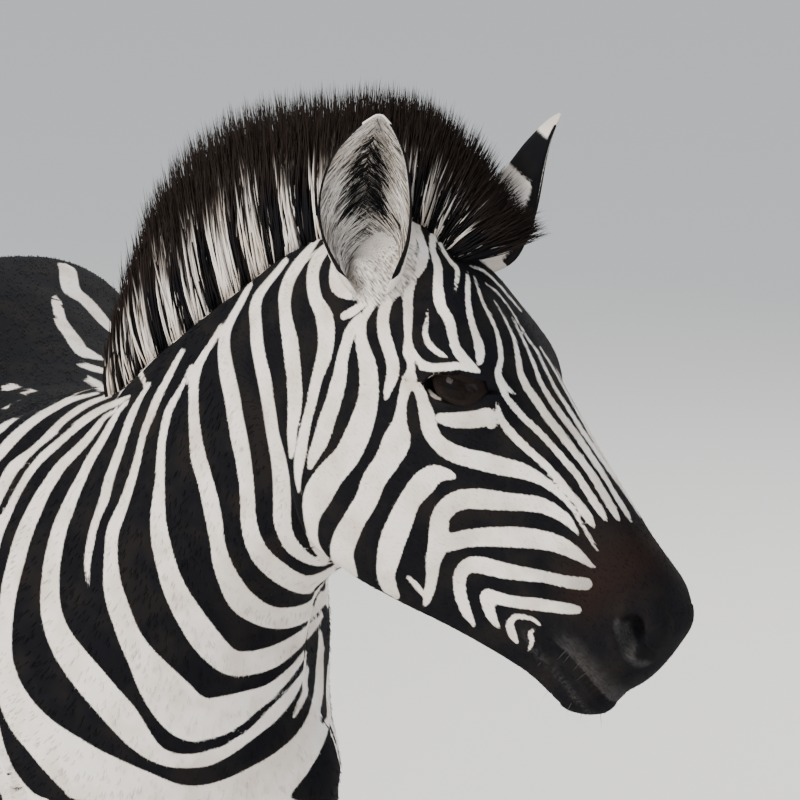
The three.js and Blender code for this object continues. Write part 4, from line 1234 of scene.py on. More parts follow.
def make_ear(ear):
    """An ear's points and triangles, with v, share and inner for each point."""
    levels = 1 - (1 - np.linspace(0, 1, EAR_RINGS)) ** 1.15
    v = np.repeat(levels, 2 * EAR_ARC)
    k = np.tile(np.arange(2 * EAR_ARC), EAR_RINGS)
    inner = k >= EAR_ARC
    share = (k % EAR_ARC) / (EAR_ARC - 1)
    share = np.where(inner, 1 - share, share)
    points = ear_wall(ear, v, share, inner)
    ends = np.stack([points[: 2 * EAR_ARC].mean(axis=0), points[-2 * EAR_ARC :].mean(axis=0)])
    faces = ring_faces(EAR_RINGS, 2 * EAR_ARC)
    points = np.vstack([points, ends])
    v, share, inner = np.append(v, [0, 1]), np.append(share, [0.5, 0.5]), np.append(inner, [False, False])
    outwards = points[faces].mean(axis=1) - points.mean(axis=0)
    if (face_normals(points, faces) * outwards).sum() < 0:
        faces = faces[:, ::-1]
    return points, faces, v, share, inner


def ear_mark(v, share, inner):
    """Markings of an ear: black rims and a black band behind, under a white tip; grey within, with painted
    shade darkening the cup's middle low down.
    """
    edge = np.minimum(share, 1 - share)
    outside = np.maximum((EAR_RIM - edge) * 60, 9 - np.abs(v - EAR_BAND) * 70)
    outside = np.where((v > EAR_TIP) | (v < EAR_ROOT), -4, outside)
    within = -0.30 + 0.5 * smooth_step(0.05, 0, edge) * (v < EAR_TIP)
    # painted shade: the middle of the cup made darker, low down
    within = within + 0.75 * smooth_step(0.32, 0.08, np.abs(share - 0.5)) * smooth_step(0.8, 0.4, v)
    return np.clip(np.where(inner, within, outside), -5, 5)


def ear_cup_shade(v, share, inner):
    """How much painted shade darkens an ear's cup deep down, in the colour of bare skin."""
    middle = smooth_step(0.34, 0.12, np.abs(share - 0.5))
    return np.where(inner, smooth_step(0.62, 0.16, v) * middle * 0.8, 0.0)


# ---------------------------------------------------------------- locks of hair
LOCK_SIDES = 3


def make_locks(paths, widths, across):
    """Tapered three-sided locks. paths is (locks, stations, 3), widths (locks, stations - 1)."""
    count, stations, _ = paths.shape
    ahead = unit(paths[:, 1:] - paths[:, :-1])
    side = unit(across[:, None] - (across[:, None] * ahead).sum(-1, keepdims=True) * ahead)
    rise = np.cross(ahead, side)
    angles = 2 * math.pi * np.arange(LOCK_SIDES) / LOCK_SIDES + math.pi / 2
    spread = widths[:, :, None, None] / 2
    rings = paths[:, :-1, None] + spread * (
        np.cos(angles)[None, None, :, None] * side[:, :, None]
        + 0.5 * np.sin(angles)[None, None, :, None] * rise[:, :, None]
    )
    points = np.concatenate([rings.reshape(count, -1, 3), paths[:, -1:]], axis=1)
    faces = []
    for r in range(stations - 2):
        for i in range(LOCK_SIDES):
            a, b = r * LOCK_SIDES + i, r * LOCK_SIDES + (i + 1) % LOCK_SIDES
            faces += [(a, b, b + LOCK_SIDES), (a, b + LOCK_SIDES, a + LOCK_SIDES)]
    last, tip = (stations - 2) * LOCK_SIDES, (stations - 1) * LOCK_SIDES
    faces += [(last + i, last + (i + 1) % LOCK_SIDES, tip) for i in range(LOCK_SIDES)]
    faces.append((2, 1, 0))
    size = points.shape[1]
    faces = np.array(faces)[None] + (np.arange(count) * size)[:, None, None]
    share = np.append(np.repeat(np.arange(stations - 1) / (stations - 1), LOCK_SIDES), 1.0)
    return points.reshape(-1, 3), faces.reshape(-1, 3), np.tile(share, count), size


PATCH = 0.003  # size of a lock's patch on the bake's map
ALL_BLACK = 8.0  # the marking of locks that are black
CHART_LOW, CHART_HIGH, CHART_SIDE = 0.02, 0.52, 0.44  # the corners of the map's four charts, and their side
CHART_LEG, LEG_STEP, LEG_STRIP, LEG_OUT = 700, 0.115, 0.1, 106  # the legs' chart: height, strips, middle line


def chart(points):
    """Places on a map of the unwrapped skin: the trunk, neck, head and legs are rolled out side by side."""
    x, y, z = points.T
    shares = region_shares(points)
    on_leg = (z < CHART_LEG) & (np.abs(y) > 40)
    region = np.where(on_leg, 3, shares.argmax(axis=0))
    result = np.zeros((len(points), 2))
    for index, place, start, length, middle, corner in (
        (0, BODY, -760, 1480, 980, (CHART_LOW, CHART_LOW)),
        (1, NECK, -180, 760, 0, (CHART_HIGH, CHART_LOW)),
        (2, HEAD, -60, 600, -110, (CHART_LOW, CHART_HIGH)),
    ):
        along, side, up = place.local(points).T
        turn = np.arctan2(side, up - middle) / (2 * math.pi) + 0.5
        share = np.clip((along - start) / length, 0, 1)
        here = region == index
        result[here] = (np.array(corner) + CHART_SIDE * np.stack([share, turn], axis=1))[here]
    limb = 2 * (x > 0) + (y > 0)
    centre = np.where(x > 0, FORE_X, HIND_X) + STAGGER * np.where((x > 0) == (y > 0), 1, -1)
    turn = np.arctan2(np.abs(y) - LEG_OUT, x - centre) / (2 * math.pi) + 0.5
    strip = CHART_HIGH + LEG_STEP * limb + LEG_STRIP * turn
    legs = np.stack([strip, CHART_HIGH + CHART_SIDE * np.clip(z / CHART_LEG, 0, 1)], axis=1)
    return np.where((region == 3)[:, None], legs, result)


def add_locks(name, slot, paths, widths, across, root, marks, dark_tip=0.0, replaced=None):
    """A piece of many locks, each with its root's marking and its patch of the bake's map."""
    points, faces, share, size = make_locks(paths, widths, across)
    piece = make_mesh(name, points, faces)
    set_attribute(piece, "mark", np.repeat(marks, size))
    set_attribute(piece, "tip", share)
    set_attribute(piece, "dark_tip", np.full(len(points), dark_tip))
    lie = np.stack([np.repeat(rng.uniform(0, 40, len(paths)), size), share * 3, np.zeros(len(share))], axis=1)
    set_attribute(piece, "lie", lie)
    round_lock = np.tile(np.arange(LOCK_SIDES) / LOCK_SIDES, paths.shape[1] - 1)
    corner = np.tile(np.append(round_lock, 0.5), len(paths))
    places = np.repeat(chart(root), size, axis=0) + PATCH * (np.stack([corner, share], axis=1) - 0.5)
    layer = piece.data.uv_layers.new(name="OFBake")
    order = np.empty(len(piece.data.loops), np.int32)
    piece.data.loops.foreach_get("vertex_index", order)
    layer.data.foreach_set("uv", places[order].astype(np.float32).ravel())
    piece.data.materials.append(LOOSE_COAT)
    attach(piece, "root")
    if replaced:
        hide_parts(replaced)


# ---------------------------------------------------------------- mane, forelock and tail
def crest(t):
    shift, top, _, _ = columns(NECK_ROWS, np.array([float(t)]))[:, 0]
    return NECK.place(t, shift * 0.4, top - 12)


def neck_lean(degrees):
    angle = math.radians(degrees)
    return math.cos(angle) * NECK.up + math.sin(angle) * NECK.along


# Root, direction of the hair and height, from the withers to the forehead.
MANE_ROWS = [
    (crest(98), neck_lean(44), 0.68),
    (crest(150), neck_lean(37), 0.92),
    (crest(215), neck_lean(33), 1.17),
    (crest(290), neck_lean(31), 1.31),
    (crest(370), neck_lean(32), 1.3),
    (crest(450), neck_lean(38), 1.15),
    (crest(520), neck_lean(49), 1.04),
    (HEAD.place(2, 0, -16), (0.0, 0.05, 1), 0.87),
    (HEAD.place(30, 0, -6), (0.2, 0.3, 0.92), 0.79),
    (HEAD.place(50, 0, -2), (0.38, 0.57, 0.72), 0.67),
    (HEAD.place(68, 0, 0), (0.48, 0.8, 0.38), 0.68),
]
MANE_ROOTS = [root for root, _, _ in MANE_ROWS]
MANE_TIPS = [root + unit(lean) * height * MANE_HEIGHT for root, lean, height in MANE_ROWS]
MANE_LOCKS = 5700  # in each of the mane's two halves
MANE_BANDS, MANE_WHITE, MANE_STRAY = 15, 0.27, 0.24  # bands, half a band's white share, share of stray black
MANE_FULL, MANE_UNEVEN, MANE_SLOPE = 0.99, 0.24, 0.22  # length, its spread, and what the outer hairs lose
MANE_TAPER = [0.8, 1.0, 0.95, 0.8, 0.6, 0.36]
LOCK_WIDTHS, TAIL_WIDTHS, EAR_WIDTHS = (2.6, 4.2), (2.6, 4.0), (0.9, 1.7)  # of the mane, tail and ears
FOREHEAD, FORELOCK = (0.6, 0.74), (0.8, 0.95)  # where along the mane it turns black, in two steps


def mane_frame(t):
    """Root, tip and side direction of the mane at shares of its length."""
    root, tip = curve(MANE_ROOTS, t), curve(MANE_TIPS, t)
    ahead = curve(MANE_ROOTS, np.minimum(t + 0.01, 1)) - curve(MANE_ROOTS, np.maximum(t - 0.01, 0))
    return root, tip, unit(np.cross(ahead, tip - root))


def mane_locks(low, high, count):
    """Paths, widths, side directions, roots and shares of the way along, between two shares of the mane."""
    t = np.sort(rng.uniform(low, high, count))
    out = rng.uniform(-1, 1, count)
    root, tip, side = mane_frame(t)
    _, tip, _ = mane_frame(np.clip(t + rng.normal(0, 0.008, count), 0, 1))
    root = root + side * (out * MANE_BASE * 0.46)[:, None]
    tip = tip + side * (out * MANE_EDGE * 0.5 + rng.normal(0, 5, count))[:, None]
    length = MANE_FULL - MANE_UNEVEN * rng.random(count) ** 1.5 - MANE_SLOPE * np.abs(out) ** 3
    length += 0.006 * np.sin(t * 210) + 0.005 * np.sin(t * 93 + 1) - 0.03 * np.abs(np.sin(t * 105 + 0.5))
    tip = root + (tip - root) * length[:, None] + rng.normal(0, 4, (count, 3))
    s = np.linspace(0, 1, len(MANE_TAPER) + 1)[None, :, None]
    belly = side * (out * 5)[:, None] + rng.normal(0, 3, (count, 3))
    paths = root[:, None] + (tip - root)[:, None] * s + belly[:, None] * np.sin(math.pi * s)
    widths = rng.uniform(*LOCK_WIDTHS, count)[:, None] * np.array(MANE_TAPER)[None]
    return paths, widths, side, root, t


def mane_marks(t):
    """Markings of the mane's locks: white bands with stray black hairs, and a mostly black forelock."""
    band = MANE_BANDS * t + 0.35 * rng.normal(0, 0.16, MANE_LOCKS)
    marks = (np.abs(band - np.floor(band) - 0.5) - MANE_WHITE) * 30
    marks = np.where(rng.random(MANE_LOCKS) < MANE_STRAY, ALL_BLACK, marks)
    forelock = 0.45 * smooth_step(*FOREHEAD, t) + 0.35 * smooth_step(*FORELOCK, t)
    return np.where(rng.random(MANE_LOCKS) < forelock, ALL_BLACK, marks)


TAIL_LOCKS = 1600
TUFT_THIN, TUFT_SWELL, TUFT_TAPER = 17, 26, 12  # the tuft's radius above, its swelling, and its loss below
DOCK_HAIR = 0.62  # where along the dock its long hair starts


def tail_locks():
    """Long hairs from the lower dock, hanging round the tuft's middle line."""
    t = rng.random(TAIL_LOCKS) ** 0.8
    angle = rng.uniform(0, 2 * math.pi, TAIL_LOCKS)
    out = np.stack([np.cos(angle), np.sin(angle), np.zeros(TAIL_LOCKS)], axis=1)
    dock_share = DOCK_HAIR + (1 - DOCK_HAIR) * t
    root = curve(TAIL_PATH, dock_share) + out * (DOCK_THICK - DOCK_TAPER * dock_share)[:, None] * 0.8
    s = np.linspace(0, 1, 9)
    reach = rng.uniform(0.7, 1.0, TAIL_LOCKS)
    depth = rng.random(TAIL_LOCKS) ** 0.5
    paths = np.empty((TAIL_LOCKS, len(s), 3))
    paths[:, 0] = root
    for k, share in enumerate(s[1:], 1):
        down = share * reach
        middle = curve(TUFT_PATH, down)
        swell = np.sin(math.pi * np.minimum(down * 0.75 + 0.02, 1))
        radius = TUFT_THIN + TUFT_SWELL * swell - TUFT_TAPER * down
        place = middle + out * (radius * depth * 0.92)[:, None]
        early = np.clip(1 - share * 3.0, 0, 1)
        paths[:, k] = place * (1 - early) + root * early
    paths[:, 1:] += rng.normal(0, 2.0, paths[:, 1:].shape)
    widths = rng.uniform(*TAIL_WIDTHS, TAIL_LOCKS)[:, None] * np.linspace(1, 0.35, len(s) - 1)[None]
    return paths, widths, out, root


# ---------------------------------------------------------------- short coat, ears and whiskers
TUFT_PIECES, TUFTS = 4, 19500
TUFT_BODY, TUFT_FACE, TUFT_LEG = 9.5, 3.6, 6.0  # lengths of the short coat's tufts
TUFT_LONG, TUFT_LIFT, TUFT_WIDE = (0.7, 1.15), (0.22, 0.5), (0.09, 0.12)  # their spreads, as shares
HEAD_MORE = 2.2  # how much more closely the tufts stand on the head
LEG_TUFTS, LEG_FLOW = (760, 520), (800, 600)  # heights between which the leg's tufts and lie take over
TUFT_SPARE, TUFT_BEND = 2.2, 1100  # how far a tuft may reach over a stripe's edge, and how little it curls


def scattered(points, faces, values, count):
    """Places spread evenly over a skin, with its normals and a value of its points."""
    size = np.linalg.norm(face_normals(points, faces), axis=1)
    middle = points[faces].mean(axis=1)
    size = size * (1 + HEAD_MORE * near_head(middle))
    picked = rng.choice(len(faces), count, p=size / size.sum())
    a, b = np.sqrt(rng.random(count)), rng.random(count)
    shares = np.stack([1 - a, a * (1 - b), a * b], axis=1)[:, :, None]
    normals = point_normals(points, faces)
    corners = faces[picked]
    value = (values[corners] * shares[:, :, 0]).sum(axis=1)
    return (points[corners] * shares).sum(axis=1), unit((normals[corners] * shares).sum(axis=1)), value


def hair_flow(points, normals):
    """The direction that the short hair lies in, along the skin."""
    shares = region_shares(points)
    flow = sum(share[:, None] * way for share, way in zip(shares, FLOWS))
    legs = smooth_step(*LEG_FLOW, points[:, 2])[:, None]
    flow = flow * (1 - legs) + legs * np.array([-0.15, 0, -1])
    flow = flow + rng.normal(0, 0.06, flow.shape)
    return unit(flow - (flow * normals).sum(axis=1, keepdims=True) * normals)


def tuft_locks(points, faces, marks):
    """Paths of short tufts over the skin, smallest on the face and the feet."""
    root, normal, mark = scattered(points, faces, marks, TUFTS)
    flow = hair_flow(root, normal)
    face, leg_share = near_head(root), smooth_step(*LEG_TUFTS, root[:, 2])
    length = TUFT_BODY + (TUFT_FACE - TUFT_BODY) * face + (TUFT_LEG - TUFT_BODY) * leg_share
    length = np.minimum(length, np.abs(mark) + TUFT_SPARE) * rng.uniform(*TUFT_LONG, TUFTS)
    lift = coat_depth(root) * rng.uniform(*TUFT_LIFT, TUFTS)
    paths = np.stack(
        [
            root + flow * (along * length)[:, None] + normal * (height * lift)[:, None]
            for along, height in ((0.0, -0.25), (0.5, 0.75), (1.0, 1.0))
        ],
        axis=1,
    )
    paths[:, 2] -= normal * (length**2 / TUFT_BEND)[:, None]
    widths = (length * rng.uniform(*TUFT_WIDE, TUFTS))[:, None] * np.array([0.8, 1.0])
    return paths, widths, np.cross(normal, flow), root, mark


EAR_LOCKS, EAR_HAIR_TOP = 1500, 0.97
EAR_INWARD, EAR_UPWARD = (0.08, 0.22), (0.08, 0.17)  # how far each reaches, round and along the ear


def ear_locks(ear):
    """Long hairs from the rims of an ear, up and inwards over its cup, and how deep in the cup each ends,
    which darkens it as painted shade.
    """
    v = 0.01 + 0.85 * rng.random(EAR_LOCKS) ** 1.35
    edge = rng.random(EAR_LOCKS) ** 1.2 * 0.38 + 0.02
    near_side = rng.random(EAR_LOCKS) < 0.5
    inward = rng.uniform(*EAR_INWARD, EAR_LOCKS) + 0.12 * smooth_step(0.3, 0.1, v)
    upward = rng.uniform(*EAR_UPWARD, EAR_LOCKS)
    inner = np.ones(EAR_LOCKS, bool)
    stations = []
    for s in np.linspace(0, 1, 5):
        share = edge + inward * s
        share = np.where(near_side, share, 1 - share)
        level = np.minimum(v + upward * s, EAR_HAIR_TOP)
        here, there = ear_wall(ear, level, share, inner), ear_wall(ear, level, 1 - share, inner)
        stations.append(here + unit(there - here) * (0.2 + 5.0 * math.sin(math.pi * s * 0.8)))
    paths = np.stack(stations, axis=1)
    widths = rng.uniform(*EAR_WIDTHS, EAR_LOCKS)[:, None] * np.array([0.9, 1.0, 0.8, 0.5])
    across = unit(np.cross(paths[:, 2] - paths[:, 0], paths[:, 4] - paths[:, 1] + 0.01))
    # painted shade: locks that end deep in the cup are darkened
    deep = smooth_step(0.36, 0.46, edge + inward) * smooth_step(0.16, 0.3, v) * smooth_step(0.8, 0.6, v)
    return paths, widths, across, paths[:, 0], deep


WHISKERS, WHISKER_TRIALS, WHISKER_MARK = 170, 60000, 0.45
CHIN, LIPS = (432, -105), (478, -78)  # beyond and below these, along and up the head, whiskers grow
WHISKER_LENGTH, WHISKER_WIDTHS = (7, 20), [0.7, 0.5]


def whiskers(points, faces):
    """Stiff bristles of the lips and chin."""
    root, normal, _ = scattered(points, faces, np.zeros(len(points)), WHISKER_TRIALS)
    along, _, up = HEAD.local(root).T
    bristly = [(along > start) & (up < top) for start, top in (CHIN, LIPS)]
    picked = np.flatnonzero(bristly[0] | bristly[1])[:WHISKERS]
    root, normal = root[picked], normal[picked]
    down = -HEAD.up * 0.55 + HEAD.along * 0.25
    length = rng.uniform(*WHISKER_LENGTH, len(root))[:, None]
    way = unit(normal + down + rng.normal(0, 0.12, root.shape))
    paths = np.stack([root - normal, root + way * length * 0.5, root + (way + 0.25 * down) * length], axis=1)
    widths = np.tile(WHISKER_WIDTHS, (len(root), 1))
    return paths, widths, np.cross(normal, way), root


LASHES, LASH_LENGTH, LASH_WIDTHS = 64, 11, [0.8, 0.55]
LASH_START, LASH_END = 0.05, 0.44  # the part of the lids' edge that bears them


def lashes():
    """The upper lids' eyelashes, on both sides."""
    t = np.linspace(LASH_START, LASH_END, LASHES)
    sign = np.where(np.arange(LASHES) % 2 == 0, 1, -1)
    local = lid_edge(t)
    root = np.stack([local[:, 0], local[:, 1] * sign, local[:, 2]], axis=1)
    way = np.stack([0.25 + 0 * t, 0.9 * sign, -0.12 + 0 * t], axis=1) + rng.normal(0, 0.08, root.shape)
    tip = root + unit(way) * LASH_LENGTH * rng.uniform(0.7, 1, LASHES)[:, None] + np.array([0, 0, 1.5])
    middle = (root + tip) / 2 + np.array([0, 0, -1.6])
    paths = HEAD.origin + np.stack([root, middle, tip], axis=1) @ HEAD.axes
    return paths, np.tile(LASH_WIDTHS, (LASHES, 1)), np.tile(HEAD.along, (LASHES, 1)), paths[:, 0]


# ---------------------------------------------------------------- hooves
HOOF_RINGS, HOOF_SIDES, HOOF_LENGTH = 26, 48, 80
SOLE_EDGE, WALL, TOP_EDGE = [0, 0.02], (0.06, 0.86), [0.9, 0.95, 0.99, 1.0]  # the rings' levels
CORONET, CORONET_SWELL, RING_PITCH = 0.91, 1.6, 58


def make_hoof(rows, x, sign, step, half):
    """A hoof's wall with fine growth rings, a coronet band and a flat sole."""
    count = HOOF_SIDES
    foot = (HOOF_TOP + HEEL_TOP) / 2
    slope = (HOOF_TOP - HEEL_TOP) / HOOF_LENGTH
    away, top_front, top_back, top_half = columns(rows, np.array([foot]))[:, 0]
    angle = 2 * math.pi * (np.arange(count) + 0.5) / count
    square = (np.abs(np.cos(angle)) ** SOLE_POWER + np.abs(np.sin(angle)) ** SOLE_POWER) ** (-1 / SOLE_POWER)
    levels = np.concatenate([SOLE_EDGE, np.linspace(*WALL, HOOF_RINGS - 6), TOP_EDGE])
    rings = []
    for t in levels:
        ridge = 0.5 * math.sin(t * RING_PITCH) if 0.05 < t < 0.84 else 0
        coronet = CORONET_SWELL * math.exp(-(((t - CORONET) / 0.05) ** 2))
        band = coronet + ridge - (1.2 if t == 0 else 0.2)
        front = HOOF_TOE + (top_front - HOOF_TOE) * t + band
        back = HOOF_HEEL + (top_back - HOOF_HEEL) * t - band
        wide = half + (top_half - half) * t + band
        out = square ** (1 - t)
        forward = (front - back) / 2 * np.cos(angle) * out
        centre = x + step + (front + back) / 2
        height = t * (foot + slope * forward)
        rings.append(np.stack([centre + forward, sign * away + wide * np.sin(angle) * out, height], axis=1))
    points = np.vstack(rings + [rings[0].mean(axis=0), rings[-1].mean(axis=0)])
    return points, ring_faces(len(rings), count)


# ---------------------------------------------------------------- materials
class Nodes:
    """A short way to write a material's nodes."""

    def __init__(self, name):
        self.material = bpy.data.materials.new(name)
        self.material.use_nodes = True
        self.tree = self.material.node_tree
        self.shader = self.tree.nodes["Principled BSDF"]

    def set(self, socket, value):
        if hasattr(value, "links"):
            self.tree.links.new(value, socket)
        elif isinstance(value, tuple) and len(value) == 3 and socket.type == "RGBA":
            socket.default_value = (*value, 1)
        else:
            socket.default_value = value

    def add(self, kind, inputs=(), output=0, **settings):
        node = self.tree.nodes.new(kind)
        for key, value in settings.items():
            setattr(node, key, value)
        for key, value in dict(inputs).items():
            self.set(node.inputs[key], value)
        return node.outputs[output]

    def read(self, name, vector=False):
        return self.add("ShaderNodeAttribute", attribute_name=name, output="Vector" if vector else "Fac")

    def math(self, operation, a, b=0.0, c=0.0):
        return self.add("ShaderNodeMath", {0: a, 1: b, 2: c}, operation=operation)

    def ramp(self, value, low, high, start=0.0, end=1.0):
        inputs = {"Value": value, "From Min": low, "From Max": high, "To Min": start, "To Max": end}
        return self.add("ShaderNodeMapRange", inputs, interpolation_type="SMOOTHSTEP")

    def mix(self, share, a, b):
        return self.add("ShaderNodeMix", {0: share, 6: a, 7: b}, output=2, data_type="RGBA")

    def noise(self, where, scale, detail=3.0, rough=0.55):
        inputs = {"Vector": where, "Scale": scale, "Detail": detail, "Roughness": rough}
        return self.add("ShaderNodeTexNoise", inputs)

    def bump(self, height, strength, distance):
        inputs = {"Height": height, "Strength": strength, "Distance": distance}
        self.set(self.shader.inputs["Normal"], self.add("ShaderNodeBump", inputs))


WHITE_HAIR, CREAM_HAIR = (0.80, 0.74, 0.68), (0.62, 0.54, 0.46)
BLACK_HAIR, SOOT_HAIR = (0.0045, 0.0045, 0.006), (0.010, 0.0085, 0.008)
BROWN_HAIR, TIP_HAIR = (0.018, 0.009, 0.006), (0.016, 0.011, 0.009)
STAINED_HAIR, GREYED_HAIR = (0.50, 0.43, 0.37), (0.017, 0.016, 0.018)
# The first of the next two is bare skin's near black, also used as painted shade in the nostril slits, the
# mouth's crease and deep in the ears' cups.
BARE_SKIN_AND_SHADE, LIP_GREY = (0.004, 0.004, 0.004), (0.060, 0.056, 0.055)
PUPIL, EYE_RIM = (0.004, 0.003, 0.003), (0.008, 0.005, 0.004)
IRIS_DARK, IRIS_BROWN = (0.003, 0.002, 0.0015), (0.008, 0.004, 0.003)
HORN_DARK, HORN_PALE = (0.035, 0.029, 0.026), (0.095, 0.080, 0.068)
FLOOR_PAINT, SKY = (0.86, 0.83, 0.79, 1), (0.86, 0.92, 1.0, 1)


def coat_material(name, loose=False):
    """Striped hair. loose is for locks, whose markings hold along their length."""
    n = Nodes(name)
    lie = n.read("lie", vector=True)
    coordinates = n.add("ShaderNodeTexCoord", output="Object")
    fine = n.noise(lie, 1.0, detail=4.0)
    edge = n.math("MULTIPLY_ADD", n.math("SUBTRACT", fine, 0.5), 0.0 if loose else 3.4, n.read("mark"))
    black = n.ramp(edge, -0.8, 0.8)
    broad = n.noise(coordinates, 22.0, detail=2.0)
    white = n.mix(n.ramp(broad, 0.35, 0.75), WHITE_HAIR, CREAM_HAIR)
    white = n.mix(n.ramp(fine, 0.3, 0.75, 0.0, 0.16), white, STAINED_HAIR)
    dark = n.mix(n.ramp(broad, 0.4, 0.7), BLACK_HAIR, SOOT_HAIR)
    dark = n.mix(n.ramp(fine, 0.45, 0.8, 0.0, 0.25), dark, GREYED_HAIR)
    colour = n.mix(black, white, dark)
    if loose:
        tip = n.read("tip")
        colour = n.mix(n.math("MULTIPLY", n.ramp(tip, 0.42, 0.7), n.read("dark_tip")), colour, TIP_HAIR)
    else:
        colour = n.mix(n.read("tint"), colour, BROWN_HAIR)
        # bare skin, and painted shade in the nostril slits, the mouth's crease and deep in the ears' cups
        colour = n.mix(n.read("bare_and_shade"), colour, BARE_SKIN_AND_SHADE)
        colour = n.mix(n.math("MULTIPLY", n.read("lip"), n.ramp(fine, 0.3, 0.7, 0.35, 1.0)), colour, LIP_GREY)
    n.set(n.shader.inputs["Base Color"], colour)
    smoothest, roughest = (0.5, 0.7) if loose else (0.78, 0.95)
    n.set(n.shader.inputs["Roughness"], n.ramp(fine, 0.2, 0.8, smoothest, roughest))
    n.shader.inputs["Specular IOR Level"].default_value = 0.06
    if not loose:
        n.bump(fine, 0.3, 0.0005)
    return n.material


def eye_material():
    n = Nodes("wet eye")
    place = n.read("iris")
    fibres = n.noise(n.add("ShaderNodeTexCoord", output="Object"), 260.0)
    iris = n.mix(n.ramp(fibres, 0.3, 0.7), IRIS_DARK, IRIS_BROWN)
    colour = n.mix(n.ramp(place, 0.45, 0.6), PUPIL, iris)
    colour = n.mix(n.ramp(place, 1.0, 1.15), colour, EYE_RIM)
    n.set(n.shader.inputs["Base Color"], colour)
    n.shader.inputs["Roughness"].default_value = 0.6
    n.shader.inputs["Specular IOR Level"].default_value = 0.02
    n.shader.inputs["Coat Weight"].default_value = 0.09
    n.shader.inputs["Coat Roughness"].default_value = 0.08
    return n.material


def hoof_material():
    n = Nodes("hoof horn")
    where = n.add("ShaderNodeTexCoord", output="Object")
    stretched = n.add("ShaderNodeMapping", {"Vector": where, "Scale": (160.0, 160.0, 9.0)})
    streak = n.noise(stretched, 1.0)
    colour = n.mix(n.ramp(streak, 0.3, 0.75), HORN_DARK, HORN_PALE)
    n.set(n.shader.inputs["Base Color"], colour)
    n.set(n.shader.inputs["Roughness"], n.ramp(streak, 0.2, 0.8, 0.4, 0.6))
    n.bump(streak, 0.3, 0.0006)
    return n.material


# ---------------------------------------------------------------- making the pieces
def add_piece(name, points, faces, material, slot, *nodes):
    piece = make_mesh(name, points, faces)
    piece.data.materials.append(material)
    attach(piece, "root")
    if nodes:
        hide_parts(*nodes)
    return piece


CUP_OUT, CUP_UP = 14, 24  # from an ear's base to the middle of its cup's pale bottom
CUP_NEAR, CUP_FAR, CUP_MARK = 44, 52, -0.2  # where that starts to fade, where it ends, and its marking


def pale_cups(points, marks):
    """The skin's markings, made pale at the bottom of each ear's cup."""
    for ear in EARS.values():
        middle = ear["base"] + CUP_OUT * unit(ear["facing"]) + CUP_UP * unit(ear["tip"] - ear["base"])
        cup = smooth_step(CUP_FAR, CUP_NEAR, np.linalg.norm(points - middle, axis=1))
        marks = marks * (1 - cup) + CUP_MARK * cup
    return marks


BROWN_AT, BROWN_SPREAD, BROWN_MOST = 412, 34, 0.6  # the brown above the nostrils
MUZZLE_FROM, TOO_FAR = 390, 99.0
LIP_LOW, LIP_EDGE, LIP_REAR = (34, 6), (1.5, 4), (426, 450)  # the upper lip's grey band
LIP_MOST, CHIN_MOST, FLARE_MOST = 0.7, 0.55, 0.6
# where the nostril slits and the mouth's crease turn dark: bare skin, and painted shade in those hollows
SLIT_BARE_AND_SHADE, MOUTH_BARE_AND_SHADE = (10, 6.5), (4.5, 2.5)


def muzzle_shades(points):
    """How brown, how grey and how bare the skin of the muzzle is at each point; the bare share also paints
    shade into the nostril slits and the mouth's crease.
    """
    along, side, up = HEAD.local(points).T
    on_head = near_head(points)
    brown = np.exp(-(((along - BROWN_AT) / BROWN_SPREAD) ** 2)) * smooth_step(-110, -60, up)
    brown = brown * smooth_step(0.3, 0.9, on_head)
    places = np.stack([along, np.abs(side), up], axis=1)
    near = np.flatnonzero((along > MUZZLE_FROM) & (on_head > 0.5))

    def gap_to(path):
        """How far each point is from a path in the head's frame, and how far above it."""
        route = curve(path, np.linspace(0, 1, 30))
        gaps = np.linalg.norm(places[near, None] - route[None], axis=2)
        gap, above = np.full(len(points), TOO_FAR), np.zeros(len(points))
        gap[near] = gaps.min(axis=1)
        above[near] = up[near] - route[gaps.argmin(axis=1), 2]
        return gap, above

    mouth, over_mouth = gap_to(MOUTH_LINE)
    slit, over_slit = gap_to(NOSTRIL_SLIT)
    lip = smooth_step(*LIP_LOW, mouth) * smooth_step(*LIP_EDGE, over_mouth) * smooth_step(*LIP_REAR, along)
    chin = smooth_step(-14, -24, over_mouth) * smooth_step(30, 22, mouth)
    flecks = smooth_step(0.3, 0.7, rng.random(len(points)))
    flare = smooth_step(20, 14, slit) * smooth_step(8, 11, slit) * smooth_step(-2, -8, over_slit)
    grey = np.max([LIP_MOST * lip, CHIN_MOST * chin * flecks, FLARE_MOST * flare], axis=0)
    # bare skin, and painted shade in the nostril slit and along the mouth's crease
    bare_and_shade = np.maximum(smooth_step(*SLIT_BARE_AND_SHADE, slit), smooth_step(*MOUTH_BARE_AND_SHADE, mouth))
    return BROWN_MOST * brown, grey, bare_and_shade


COAT, LOOSE_COAT = coat_material("striped coat"), coat_material("striped locks", loose=True)
EYE_WET, HORN = eye_material(), hoof_material()

